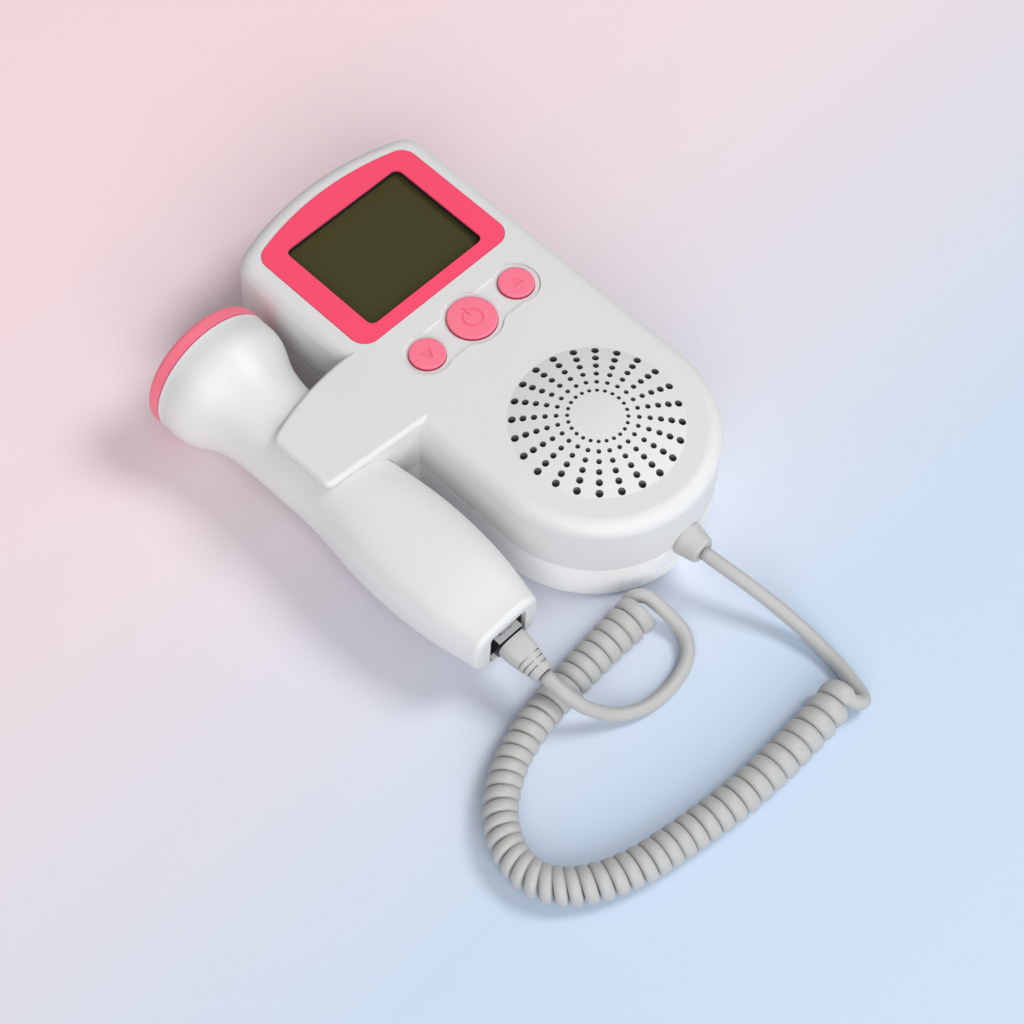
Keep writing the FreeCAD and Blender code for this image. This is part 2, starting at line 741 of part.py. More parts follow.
def front_shell(front):
    bosses = [
        post(f"front_boss_{i}", s.boss_radius, x, y, s.seam_height, ceiling)
        for i, (x, y) in enumerate(boss_places())
    ]
    pilot_top = s.screw_sink + s.screw_length + 1
    pilots = [
        post(f"front_pilot_{i}", s.screw_radius + 0.02, x, y, s.seam_height - 1, pilot_top)
        for i, (x, y) in enumerate(boss_places())
    ]
    button_holes = [
        post(f"hole_{name}", radius + s.button_fit, x, button_line, ceiling - 1, height + 1)
        for name, x, radius in BUTTONS
    ]
    sunk = s.bezel_sheet - s.bezel_proud
    body = cut(
        "front_opened",
        fuse("front_with_bosses", front, *bosses),
        panel_recess(),
        bezel_outline("bezel_seat", s.fit, height - sunk, height + 2),
        window("window_opening", s.mask_wall, ceiling - 1, height + 1),
        relief_hole("front_relief_hole", s.fit / 2),
        *pilots,
        *button_holes,
    )
    return node("front_shell", cut("front_shell_drilled", body, grille_holes()))


def rear_shell(rear):
    zero = Size(0, "0")
    bay_outer = box(
        "bay_outer", -door_half_width - s.bay_wall, door_half_width + s.bay_wall,
        s.bay_start - s.bay_wall, door_end + s.bay_wall, zero, bay_top + s.bay_wall,
    )
    bay_limit = fuse(
        "bay_limit",
        unit_outline("bay_limit_low", s.wall / 2, zero, s.seam_height),
        unit_outline("bay_limit_high", s.wall + s.fit, zero, height),
    )
    bay_outer = common("bay_in_shell", bay_outer, bay_limit)
    bay_inner = box("bay_inner", -bay_half_width, bay_half_width, s.bay_start, bay_end, Size(-1, "-1"), bay_top)
    bosses = [
        post(f"rear_boss_{i}", s.boss_radius, x, y, s.wall / 2, s.seam_height)
        for i, (x, y) in enumerate(boss_places())
    ]
    posts = [
        post(f"board_post_{i}", s.post_radius, x, y, s.wall / 2, board_z)
        for i, (x, y) in enumerate(post_places())
    ]
    shanks = [
        post(f"screw_way_{i}", s.screw_radius + 0.1, x, y, Size(-1, "-1"), s.seam_height + 1)
        for i, (x, y) in enumerate(boss_places())
    ]
    sinks = [
        post(f"screw_sink_{i}", s.screw_head_radius + 0.3, x, y, Size(-1, "-1"), s.screw_sink)
        for i, (x, y) in enumerate(boss_places())
    ]
    pilots = [
        post(f"post_pilot_{i}", s.small_screw_radius + 0.02, x, y, board_z - s.small_screw_length, board_z + 1)
        for i, (x, y) in enumerate(post_places())
    ]
    lip_root = unit_outline("lip_root", s.wall / 2, s.seam_height - s.lip_height, s.seam_height)
    lip_tongue = unit_outline("lip_tongue", s.wall + 0.1, s.seam_height, s.seam_height + s.lip_height)
    lip_core = unit_outline("lip_core", s.wall + s.lip_wall + 0.1, zero, height)
    lip_break = box(
        "lip_break", -s.half_width - 5, -inner_half_width + 3,
        s.arm_start + s.arm_cavity_wall - 1, s.arm_end - s.arm_cavity_wall + 1, zero, height,
    )
    lip_door = box(
        "lip_relief", s.relief_side - s.relief_base_radius - 1, s.relief_side + s.relief_base_radius + 1,
        -s.half_width, -s.half_width / 2, zero, height,
    )
    lip_bosses = [
        post(f"lip_boss_{i}", s.boss_radius + 0.2, x, y, zero, height)
        for i, (x, y) in enumerate(boss_places())
    ]
    lip = cut("seam_lip", fuse("lip_blank", lip_root, lip_tongue), lip_core, lip_break, lip_door, *lip_bosses)
    whole = fuse("rear_with_bay", rear, bay_outer, *bosses, *posts, lip)
    groove_outer = unit_outline("groove_outer", -1, s.seam_height - s.seam_groove, s.seam_height)
    groove_inner = unit_outline("groove_inner", s.seam_groove, zero, height)
    groove = cut("seam_groove_ring", groove_outer, groove_inner)
    ways = []
    for i, start in enumerate(tongue_starts()):
        for side_name, sign in (("left", -1), ("right", 1)):
            inner = door_half_width * sign
            outer = (door_half_width + s.door_tongue + s.fit) * sign
            x0, x1 = (outer, inner) if sign < 0 else (inner, outer)
            low = s.wall / 2 - s.tongue_thickness / 2
            ways.append(box(
                f"tongue_way_{side_name}_{i}", x0, x1,
                start - s.door_travel - s.fit, start + s.tongue_length + s.fit,
                low - s.fit, low + s.tongue_thickness + s.fit,
            ))
            ways.append(box(
                f"tongue_notch_{side_name}_{i}", x0, x1,
                start - s.door_travel - s.fit, start - s.door_travel + s.tongue_length + s.fit,
                Size(-1, "-1"), low + s.tongue_thickness + s.fit,
            ))
    body = cut(
        "rear_opened", whole, bay_inner, door_block("door_way", s.fit),
        relief_hole("rear_relief_hole", s.fit / 2), groove,
        *shanks, *sinks, *pilots, *ways,
    )
    return node("rear_shell", body)


def battery_door(shell_form_rear):
    """The door is the part of the rear shell's own form inside its block, with tongues."""
    blank = common("door_blank", shell_form_rear, door_block("door_form", 0))
    tongues = []
    for i, start in enumerate(tongue_starts()):
        low = s.wall / 2 - s.tongue_thickness / 2
        tongues.append(box(
            f"door_tongue_{i}", -door_half_width - s.door_tongue, door_half_width + s.door_tongue,
            start, start + s.tongue_length, low, low + s.tongue_thickness,
        ))
    grooves = [
        box(
            f"door_grip_{i}", -s.half_width / 4, s.half_width / 4,
            -s.half_width / 2 - i * 2.4, -s.half_width / 2 - i * 2.4 + 1.2,
            Size(-1, "-1"), s.grip_depth,
        )
        for i in range(3)
    ]
    return node("battery_door", cut("door_gripped", fuse("door_with_tongues", blank, *tongues), *grooves))


# ---------------------------------------------------------------- display unit: inside
def display():
    """From the top: coloured surround, black mask, glass, backlight, carrier, contact strips."""
    sheet_bottom = height + s.bezel_proud - s.bezel_sheet
    surround = bezel_outline("bezel", 0, sheet_bottom, height + s.bezel_proud)
    node("display_bezel", cut("bezel_opened", surround, window("bezel_window", 0, ceiling, height + 1)))
    mask = window("mask_outer", s.mask_wall - 0.05, ceiling, sheet_bottom)
    node("display_mask", cut("mask_opened", mask, window("mask_window", 0, ceiling - 1, height + 1)))
    across = s.glass_width / 2
    low = window_centre - s.glass_length / 2
    high = window_centre + s.glass_length / 2
    node("lcd_glass", plate("glass", rectangle(-across, across, low, high), glass_bottom, glass_top))
    light = rectangle(-across, across, low + s.light_margin, high - s.light_margin)
    node("lcd_backlight", plate("backlight", light, light_bottom, glass_bottom))
    frame = plate("carrier_outer", light, board_top, light_bottom)
    inner = rectangle(
        -across + s.carrier_wall, across - s.carrier_wall,
        low + s.light_margin + s.carrier_wall, high - s.light_margin - s.carrier_wall,
    )
    hole = plate("carrier_inner", inner, board_top - 1, light_bottom + 1)
    node("display_carrier", cut("carrier_opened", frame, hole))
    half = s.strip_length / 2
    middle = (s.light_margin - s.strip_width) / 2
    lower = box("strip_low", -half, half, low + middle, low + middle + s.strip_width, board_top, glass_bottom)
    upper = box("strip_high", -half, half, high - middle - s.strip_width, high - middle, board_top, glass_bottom)
    node("contact_strips", fuse("strips", lower, upper))


def main_board():
    holes = [(x, y, s.small_screw_radius + 0.2) for x, y in post_places()]
    side = s.board_half_width
    outline = rectangle(-side, side, board_low, board_high)
    node("main_board", plate("board", outline, board_z, board_top, holes))
    chips = [
        ("processor", -5.5, 5.5, 4, 15, 0.5),
        ("codec", -14, -8.5, 6, 13, 0.44),
        ("crystal_can", 9, 13.5, 6, 10, 0.78),
        ("capacitor", 9, 13, 13, 17, 0.94),
        ("battery_lead_socket", -12, -6, 19, 24, 1.0),
        ("speaker_lead_socket", 6, 12, 21, 25, 1.0),
    ]
    low = window_centre - s.glass_length / 2 + s.light_margin
    parts = [
        box(
            name, s.footprint * x0, s.footprint * x1, low + s.footprint * y0, low + s.footprint * y1,
            board_top, board_top + tallest_part * tall,
        )
        for name, x0, x1, y0, y1, tall in chips
    ]
    node("board_components", fuse("components", *parts))


def screw(name, x, y, z, radius, head_radius, head_height, length, direction):
    """A pan-head screw whose head rests at z; direction is +1 where it points up."""
    profile = [
        (0, -direction * head_height),
        (head_radius * 0.7, -direction * head_height),
        (head_radius, -direction * head_height * 0.5),
        (head_radius, 0),
        (radius, 0),
        (radius, direction * length),
        (0, direction * length),
    ]
    body = turned(name + "_blank", profile, x, y, z)
    arm = head_radius * 0.55
    thin = head_radius * 0.14
    top = z - direction * head_height
    z0, z1 = (top - 1, top + head_height * 0.5) if direction > 0 else (top - head_height * 0.5, top + 1)
    across = box(name + "_slot_x", x - arm, x + arm, y - thin, y + thin, z0, z1)
    along = box(name + "_slot_y", x - thin, x + thin, y - arm, y + arm, z0, z1)
    return cut(name, body, across, along)


def screws():
    housing = [
        screw(f"housing_screw_{i}", x, y, s.screw_sink, s.screw_radius, s.screw_head_radius,
              s.screw_head_height, s.screw_length, 1)
        for i, (x, y) in enumerate(boss_places())
    ]
    node("housing_screws", fuse("housing_screw_set", *housing))
    board = [
        screw(f"board_screw_{i}", x, y, board_top, s.small_screw_radius, s.small_head_radius,
              s.small_head_height, s.small_screw_length, -1)
        for i, (x, y) in enumerate(post_places())
    ]
    node("board_screws", fuse("board_screw_set", *board))


def power_symbol():
    """An open ring with a bar in its gap."""
    z0 = button_top - s.symbol_depth
    z1 = button_top + 1
    y = button_line
    outer = post("symbol_outer", s.symbol_radius, 0, y, z0, z1)
    inner = post("symbol_inner", s.symbol_radius - s.symbol_line, 0, y, z0 - 1, z1 + 1)
    gap = s.symbol_line * 1.6
    mouth = box("symbol_gap", -gap, gap, y, y + 2 * s.symbol_radius, z0 - 1, z1 + 1)
    half = s.symbol_line / 2
    bar = box("symbol_bar", -half, half, y + s.symbol_radius * 0.3, y + s.symbol_radius * 1.3, z0, z1)
    return fuse("power_symbol", cut("symbol_ring", outer, inner, mouth), bar)


def arrow_symbol(name, x, turn):
    """A plain triangle; turn is 90 where it points to the head, -90 where it points away."""
    prism = doc.addObject("Part::Prism", name)
    prism.Polygon = 3
    prism.Placement = Placement(Vector(0, 0, 0), Rotation(Vector(0, 0, 1), turn))
    bind(prism, "Circumradius", s.arrow_radius)
    bind(prism, "Height", s.symbol_depth + 1)
    return place(prism, x, button_line, button_top - s.symbol_depth)


def buttons():
    symbols = {
        "power": power_symbol(),
        "down": arrow_symbol("down_symbol", -s.button_pitch, -90),
        "up": arrow_symbol("up_symbol", s.button_pitch, 90),
    }
    switches = []
    for name, x, radius in BUTTONS:
        crown = s.button_crown
        flange = radius + s.button_fit + s.button_flange
        profile = [
            (0, plunger_top),
            (s.stem_radius, plunger_top),
            (s.stem_radius, flange_bottom),
            (flange, flange_bottom),
            (flange, flange_top),
            (radius, flange_top),
            (radius, button_top - crown),
            (radius - crown * 0.3, button_top - crown * 0.3),
            (radius - crown, button_top),
            (0, button_top),
        ]
        cap = turned(f"{name}_cap", profile, x, button_line, 0)
        node(f"{name}_button", cut(f"{name}_marked", cap, symbols[name]))

        foot = board_top + s.switch_height - 1.0
        neck = s.plunger_radius
        plunger = [(0, foot), (neck, foot), (neck, plunger_top), (0, plunger_top)]
        node(f"{name}_plunger", turned(f"{name}_plunger_body", plunger, x, button_line, 0))

        half = s.switch_side / 2
        case = box(
            f"{name}_switch_case", x - half, x + half, button_line - half, button_line + half,
            board_top, board_top + s.switch_height,
        )
        well = post(
            f"{name}_switch_well", s.plunger_radius + s.plunger_fit, x, button_line,
            foot - s.button_travel - 0.3, board_top + s.switch_height + 1,
        )
        switches.append(cut(f"{name}_switch", case, well))
    node("tact_switches", fuse("switches", *switches))


def loudspeaker():
    rim = s.speaker_radius
    throat = rim - s.speaker_rim
    gasket = [(throat, gasket_bottom), (rim, gasket_bottom), (rim, ceiling), (throat, ceiling)]
    node("speaker_gasket", turned("gasket", gasket))
    wall = s.basket_wall
    neck = s.magnet_radius
    basket = [
        (throat, gasket_bottom),
        (rim, gasket_bottom),
        (rim, rim_bottom),
        (throat + wall, rim_bottom),
        (neck + wall, basket_bottom),
        (0, basket_bottom),
        (0, basket_bottom + wall),
        (neck, basket_bottom + wall),
        (throat, rim_bottom),
    ]
    node("speaker_basket", turned("basket", basket))
    magnet = [
        (0, basket_bottom - s.magnet_height),
        (neck * 0.96, basket_bottom - s.magnet_height),
        (neck, basket_bottom - s.magnet_height * 0.9),
        (neck, basket_bottom),
        (0, basket_bottom),
    ]
    node("speaker_magnet", turned("magnet", magnet))
    edge = throat - 0.1
    thick = s.cone_wall
    coil = s.magnet_radius * 0.5
    depth = speaker_depth * 0.6
    cone = [
        (0, gasket_bottom - depth + 1.5 * thick),
        (0, gasket_bottom - depth + 2.5 * thick + 1),
        (coil, gasket_bottom - depth + thick),
        (edge - 3, gasket_bottom - 2 * thick),
        (edge - 1.5, gasket_bottom),
        (edge, gasket_bottom - thick),
        (edge, gasket_bottom - 2 * thick),
        (edge - 1.5, gasket_bottom - thick),
        (edge - 3, gasket_bottom - 3 * thick),
        (coil, gasket_bottom - depth),
        (coil, basket_bottom + wall),
        (coil - thick, basket_bottom + wall),
        (coil - thick, gasket_bottom - depth + 0.5 * thick),
    ]
    node("speaker_cone", turned("cone", cone))
    upper = dome("cloth_upper", s.dome_wall + 0.05)
    lower = dome("cloth_lower", s.dome_wall + 0.05 + s.cloth_thickness)
    disc = post("cloth_disc", s.dome_radius - 1, 0, 0, ceiling, height + s.dome_rise)
    node("grille_cloth", common("cloth", cut("cloth_bowl", upper, lower), disc))


def helical_spring(x, y0, length):
    """A battery spring along Y, ground flat by starting and ending a little inside."""
    wire = float(s.spring_wire)
    run = float(length) - 2 * wire - 0.1
    turns = 4
    spine = Part.makeHelix(run / turns, run, float(s.spring_radius))
    start = spine.Edges[0].valueAt(spine.Edges[0].FirstParameter)
    along = spine.Edges[0].tangentAt(spine.Edges[0].FirstParameter)
    section = Part.Wire([Part.Circle(start, along, wire).toShape()])
    coil = Part.Wire(spine.Edges).makePipeShell([section], True, True)
    coil.rotate(Vector(0, 0, 0), Vector(1, 0, 0), -90)
    coil.translate(Vector(float(x), float(y0) + wire + 0.05, float(cell_z)))
    return coil


def batteries():
    """Two AA cells head to tail, their contact plates and springs."""
    length = s.cell_length - s.nub_height
    rim = s.cell_radius - 0.4
    profile = [
        (0, 0),
        (rim, 0),
        (s.cell_radius, 0.4),
        (s.cell_radius, length - 0.4),
        (rim, length),
        (s.nub_radius, length),
        (s.nub_radius, length + s.nub_height),
        (0, length + s.nub_height),
    ]
    left_start = bay_end - s.plate_thickness - s.cell_length
    left = turned("cell_left", profile, -cell_x, left_start, cell_z, axis="Y")
    backwards = [(radius, -1 * (along + Size(0, "0"))) for radius, along in profile]
    right_start = s.bay_start + s.plate_thickness + s.cell_length
    right = turned("cell_right", backwards, cell_x, right_start, cell_z, axis="Y")
    node("battery_cells", fuse("cells", left, right))

    low = s.bay_start
    thick = s.plate_thickness
    half = s.plate_width / 2
    bridge = box(
        "plate_bridge", -cell_x - half, cell_x + half, low, low + thick,
        cell_z - half, cell_z + half,
    )
    ends = [
        box(
            f"plate_{name}", x - half, x + half, bay_end - thick, bay_end,
            cell_z - half, cell_z + half,
        )
        for name, x in (("plus", -cell_x), ("minus", cell_x))
    ]
    node("battery_plates", fuse("plates", bridge, *ends))
    springs = Part.makeCompound([
        helical_spring(-cell_x, low + thick, s.spring_length),
        helical_spring(cell_x, right_start, s.spring_length),
    ])
    node("battery_springs", feature("springs", springs))


def strain_relief():
    """Turned about its own axis along Y: flange inside, neck in the wall, taper outside."""
    bore = s.cord_diameter * 0.3
    inside = -(s.half_width - s.wall) + 0.42
    neck = s.relief_neck_radius
    end = relief_base_y - s.relief_length
    profile = [
        (bore, inside + s.relief_flange),
        (bore + 1.6, inside + s.relief_flange),
        (s.relief_base_radius, inside + s.relief_flange * 0.7),
        (s.relief_base_radius, inside),
        (neck, inside),
        (neck, relief_base_y),
        (s.relief_base_radius, relief_base_y),
        (s.relief_base_radius, relief_base_y - 0.8),
        (s.relief_end_radius, end + 0.6),
        (s.relief_end_radius - 0.5, end),
        (bore, end),
    ]
    node("strain_relief", turned("relief", profile, s.relief_side, 0, relief_z, axis="Y"))


# ---------------------------------------------------------------- probe
def droop(y):
    """How far the probe's middle line has come down at a place behind the cradle."""
    past = (float(s.arm_start) - float(y)) / float(s.arm_start - s.probe_tail)
    return float(s.tail_drop) * max(0.0, past) ** 2


def oval(y, half_width, half_height, power, centre_z):
    """A closed section of the probe: an ellipse at power 2, squarer above."""
    count = 32
    points = []
    for index in range(count):
        angle = 2 * math.pi * index / count
        across = math.cos(angle)
        up = math.sin(angle)
        reach = (abs(across) ** power + abs(up) ** power) ** (-1 / power)
        points.append(Vector(
            float(probe_x) + reach * across * float(half_width),
            float(y),
            float(centre_z) + reach * up * float(half_height),
        ))
    curve = Part.BSplineCurve()
    curve.interpolate(Points=points, PeriodicFlag=True, Parameters=[i / count for i in range(count + 1)])
    return Part.Wire([curve.toShape()])


def probe_section(y, half_width, half_height, power):
    return oval(y, half_width, half_height, power, float(probe_z) - droop(y))


def probe_stations():
    """The probe from head to tail: place, half width, half height and squareness."""
    joint = s.probe_joint
    tail = s.probe_tail
    belly = s.probe_head_radius - s.belly_step
    shoulder = s.probe_head_radius - s.shoulder_step
    return [
        (joint, s.probe_head_radius, s.probe_head_radius, 2.0),
        (joint - 3.0, s.probe_head_radius - 0.05, s.probe_head_radius - 0.05, 2.0),
        (joint - s.belly_place, belly, belly, 2.0),
        (joint - s.shoulder_place, shoulder, shoulder, 2.0),
        (joint - s.throat_place, s.throat_half_width, s.throat_half_height, 2.0),
        (s.arm_end - 0.3, s.neck_half_width + 0.2, s.neck_half_height, 2.0),
        (s.arm_end - 11.0, s.neck_half_width - 0.1, s.neck_half_height, 2.05),
        (s.arm_start + 4.0, s.neck_half_width - 0.05, s.neck_half_height, 2.15),
        (s.arm_start - 8.0, (s.neck_half_width + s.grip_half_width) / 2 + 0.25, s.neck_half_height, 2.4),
        (tail + 31.5, s.grip_half_width, s.grip_half_height, 2.6),
        (tail + 19.5, s.rear_half_width, s.rear_half_height, 2.8),
        (tail + 9.5, s.hip_half_width, s.hip_half_height, 3.1),
        (tail + s.tail_round, s.tail_half_width, s.tail_half_height, 3.4),
    ]


def probe_form():
    """The probe's outside, with the tail's rim rounded."""
    sections = [probe_section(*station) for station in probe_stations()]
    form = Part.makeLoft(sections, True, False)
    y, half_width, half_height, power = probe_stations()[-1]
    steps = 6
    rim = []
    for step in range(steps + 1):
        angle = math.pi / 2 * step / steps
        inset = float(s.tail_round) * (1 - math.cos(angle))
        back = float(s.tail_round) * math.sin(angle)
        rim.append(probe_section(float(y) - back, float(half_width) - inset, float(half_height) - inset, power))
    return form.fuse(Part.makeLoft(rim, True, False)).removeSplitter()


def probe_hollow():
    """The inside of the probe, one wall smaller all round and closed at the tail."""
    wall = float(s.probe_wall)
    sections = []
    for y, half_width, half_height, power in probe_stations():
        sections.append(probe_section(y, float(half_width) - wall, float(half_height) - wall, power))
    form = Part.makeLoft(sections, True, False)
    keep = Part.makeBox(
        80, float(s.probe_joint) - float(jack_face) - wall + 5, 80,
        Vector(float(probe_x) - 40, float(jack_face) + wall, float(probe_z) - 40),
    )
    return form.common(keep)


def mouth_block(start, end, gap):
    """A block with the opening's rounded section, smaller all round by a gap."""
    half = float(s.mouth_width) / 2 - gap
    high = float(s.mouth_height) - 2 * gap
    length = float(end) - float(start)
    block = Part.makeBox(
        2 * half, length, high, Vector(float(probe_x) - half, float(start), float(mouth_z) - high / 2),
    )
    long_edges = [edge for edge in block.Edges if edge.BoundBox.YLength > length / 2]
    return block.makeFillet(float(s.mouth_corner) - gap, long_edges)


def jack_cutter():
    """The pocket behind the opening that holds the socket."""
    half = float(s.plug_width / 2 + s.jack_wall + 0.05)
    tall = float(s.plug_height / 2 + s.jack_wall + 0.05)
    start = float(jack_face) - 0.5
    length = float(s.jack_length) + 0.6
    return Part.makeBox(
        2 * half, length, 2 * tall + float(s.latch_thickness) + 0.6,
        Vector(float(probe_x) - half, start, float(plug_z) - tall),
    )


def probe_screw_places():
    return [s.probe_screw_low, s.probe_screw_high]


def probe_shells():
    """Two half shells that meet on the probe's middle plane, with screw posts inside."""
    hollow = probe_hollow()
    shell = probe_form().cut(hollow)
    board_low = probe_z - 4.0
    for y in probe_screw_places():
        radius = float(s.probe_post_radius)
        tower = Part.makeCylinder(radius, 60, Vector(float(probe_x), float(y), float(probe_z) - 30))
        shell = shell.fuse(tower.common(hollow))
    mouth = mouth_block(s.probe_tail - 1, jack_face, 0.0)
    shell = shell.cut(mouth).cut(jack_cutter())
    board = Part.makeBox(
        float(s.probe_board_width) + 0.4,
        float(s.probe_board_end - s.probe_board_start) + 0.4,
        float(s.probe_board_thickness) + 0.1,
        Vector(
            float(probe_x - s.probe_board_width / 2) - 0.2,
            float(s.probe_board_start) - 0.2,
            float(board_low) - 0.05,
        ),
    )
    shell = shell.cut(board)
    for y in probe_screw_places():
        foot = float(probe_z - s.neck_half_height) + 2.5
        way = Part.makeCylinder(
            float(s.small_screw_radius) + 0.05, float(s.small_screw_length) + 8,
            Vector(float(probe_x), float(y), foot),
        )
        sink = Part.makeCylinder(
            float(s.small_head_radius) + 0.25, 30, Vector(float(probe_x), float(y), foot - 30),
        )
        shell = shell.cut(way).cut(sink)
    big = 400
    above = Part.makeBox(big, big, big, Vector(-big / 2, -big / 2, float(probe_z)))
    below = Part.makeBox(big, big, big, Vector(-big / 2, -big / 2, float(probe_z) - big))
    node("probe_upper_shell", feature("probe_upper", largest(shell.common(above))))
    node("probe_lower_shell", feature("probe_lower", largest(shell.common(below))))


def largest(shape):
    """The main solid, without the crumbs that a cut can leave."""
    return max(shape.Solids, key=lambda solid: solid.Volume)


def probe_front():
    """Cap ring, face, cup and the two crystals, all turned about the probe's axis."""
    ring = s.probe_head_radius
    front = cap_front
    inner = face_radius + 0.05
    inside = s.probe_head_radius - s.probe_wall - 0.15
    joint = s.probe_joint
    ring_profile = [
        (inner, front - s.face_thickness),
        (inner, front - 0.3),
        (inner + 0.3, front),
        (ring - s.cap_round, front),
        (ring - s.cap_round * 0.4, front - s.cap_round * 0.2),
        (ring - s.cap_round * 0.1, front - s.cap_round * 0.6),
        (ring, front - s.cap_round),
        (ring, joint),
        (inside, joint),
        (inside, joint - s.cap_spigot),
        (inside - 1.2, joint - s.cap_spigot),
        (inside - 1.2, front - s.face_thickness),
    ]
    node("probe_cap_ring", turned("cap_ring", ring_profile, probe_x, 0, probe_z, axis="Y"))
    face_back = front - s.face_thickness
    face = [(0, face_back), (face_radius, face_back), (face_radius, front), (0, front)]
    node("probe_face", turned("face", face, probe_x, 0, probe_z, axis="Y"))
    outer = crystal_radius + s.cup_wall + 0.1
    crystal_back = face_back - s.crystal_thickness
    back = face_back - s.cup_depth
    cup = [
        (0, back),
        (outer, back),
        (outer, face_back),
        (outer - s.cup_wall, face_back),
        (outer - s.cup_wall, back + s.cup_wall),
        (0, back + s.cup_wall),
    ]
    node("transducer_cup", turned("cup", cup, probe_x, 0, probe_z, axis="Y"))
    disc = [(0, crystal_back), (crystal_radius, crystal_back), (crystal_radius, face_back), (0, face_back)]
    whole = turned("crystal_disc", disc, probe_x, 0, probe_z, axis="Y")
    half = s.crystal_split / 2
    wide = 2 * crystal_radius
    saw = box(
        "crystal_saw", probe_x - half, probe_x + half, crystal_back - 1, face_back + 1,
        probe_z - wide, probe_z + wide,
    )
    node("transducer_crystals", cut("crystals", whole, saw))
    foam = crystal_radius
    damper = [(0, back + s.cup_wall), (foam, back + s.cup_wall), (foam, crystal_back), (0, crystal_back)]
    node("transducer_damper", turned("damper", damper, probe_x, 0, probe_z, axis="Y"))


def probe_inside():
    """Board with its parts, socket and screws."""
    half = s.probe_board_width / 2
    low = probe_z - 4.0
    top = low + s.probe_board_thickness
    holes = [(probe_x, y, s.probe_post_radius + 0.15) for y in probe_screw_places()]
    outline = rectangle(probe_x - half, probe_x + half, s.probe_board_start, s.probe_board_end)
    node("probe_board", plate("probe_pcb", outline, low, top, holes))
    chips = [
        ("probe_amplifier", -4.0, 4.0, 18.0, 26.0, 1.5),
        ("probe_mixer", -3.0, 3.0, 32.0, 37.0, 1.5),
        ("probe_coil_can", -2.5, 2.5, 42.0, 47.0, 5.0),
        ("probe_oscillator", -5.5, 5.5, 50.0, 54.0, 3.0),
    ]
    parts = [
        box(
            name, probe_x + s.footprint * x0, probe_x + s.footprint * x1,
            s.probe_board_start + s.footprint * y0, s.probe_board_start + s.footprint * y1,
            top, top + s.footprint * tall,
        )
        for name, x0, x1, y0, y1, tall in chips
    ]
    node("probe_components", fuse("probe_parts", *parts))
    wide = s.plug_width / 2 + s.jack_wall
    tall = s.plug_height / 2 + s.jack_wall
    case = box(
        "socket_case", probe_x - wide, probe_x + wide, jack_face, jack_face + s.jack_length,
        plug_z - tall, plug_z + tall + s.latch_thickness + 0.5,
    )
    way_x = s.plug_width / 2 + s.plug_fit
    way_z = s.plug_height / 2 + s.plug_fit
    way = box(
        "socket_way", probe_x - way_x, probe_x + way_x, s.probe_tail, jack_face + s.plug_in + 0.5,
        plug_z - way_z, plug_z + way_z,
    )
    latch_x = s.latch_width / 2 + s.plug_fit * 2
    latch_way = box(
        "socket_latch_way", probe_x - latch_x, probe_x + latch_x, s.probe_tail,
        jack_face + s.plug_in - 2, plug_z, plug_top + s.latch_thickness + 0.3,
    )
    front = feature("socket_front", mouth_block(s.probe_tail + s.face_depth, jack_face, float(s.face_fit)))
    node("probe_socket", cut("socket", fuse("socket_body", case, front), way, latch_way))
    set_ = [
        screw(f"probe_screw_{i}", probe_x, y, probe_z - s.neck_half_height + 2.5,
              s.small_screw_radius, s.small_head_radius, s.small_head_height,
              s.small_screw_length + 4, 1)
        for i, y in enumerate(probe_screw_places())
    ]
    node("probe_screws", fuse("probe_screw_set", *set_))


def plug():
    """The modular plug with its latch, its four contacts and the boot over its rear."""
    half = s.plug_width / 2
    tall = s.plug_height / 2
    tip = jack_face + s.plug_in
    rear = s.probe_tail - s.boot_start
    floor = plug_z - tall
    core = box("plug_core", probe_x - half, probe_x + half, rear, tip, plug_z - tall, plug_z + tall)
    latch_half = s.latch_width / 2
    latch = box(
        "plug_latch", probe_x - latch_half, probe_x + latch_half, rear + 1.5, tip - 2.5,
        plug_top, plug_top + s.latch_thickness,
    )
    slots = []
    blades = []
    for index in range(4):
        x = probe_x + (index - 1.5) * 1.02
        slots.append(box(
            f"plug_slot_{index}", x - 0.2, x + 0.2, tip - 6, tip - 0.6, floor - 1, floor + 2,
        ))
        blades.append(box(
            f"plug_blade_{index}", x - 0.15, x + 0.15, tip - 5.8, tip - 0.8, floor + 0.2, floor + 2,
        ))
    node("modular_plug", cut("plug_slotted", fuse("plug_body", core, latch), *slots))
    node("plug_contacts", fuse("plug_blades", *blades))
    node("plug_boot", feature("boot", boot_shape()))


def boot_tilt_about():
    """Where the boot bends down: the rear end of the plug."""
    return Vector(float(probe_x), float(s.probe_tail - s.boot_start), float(plug_z))


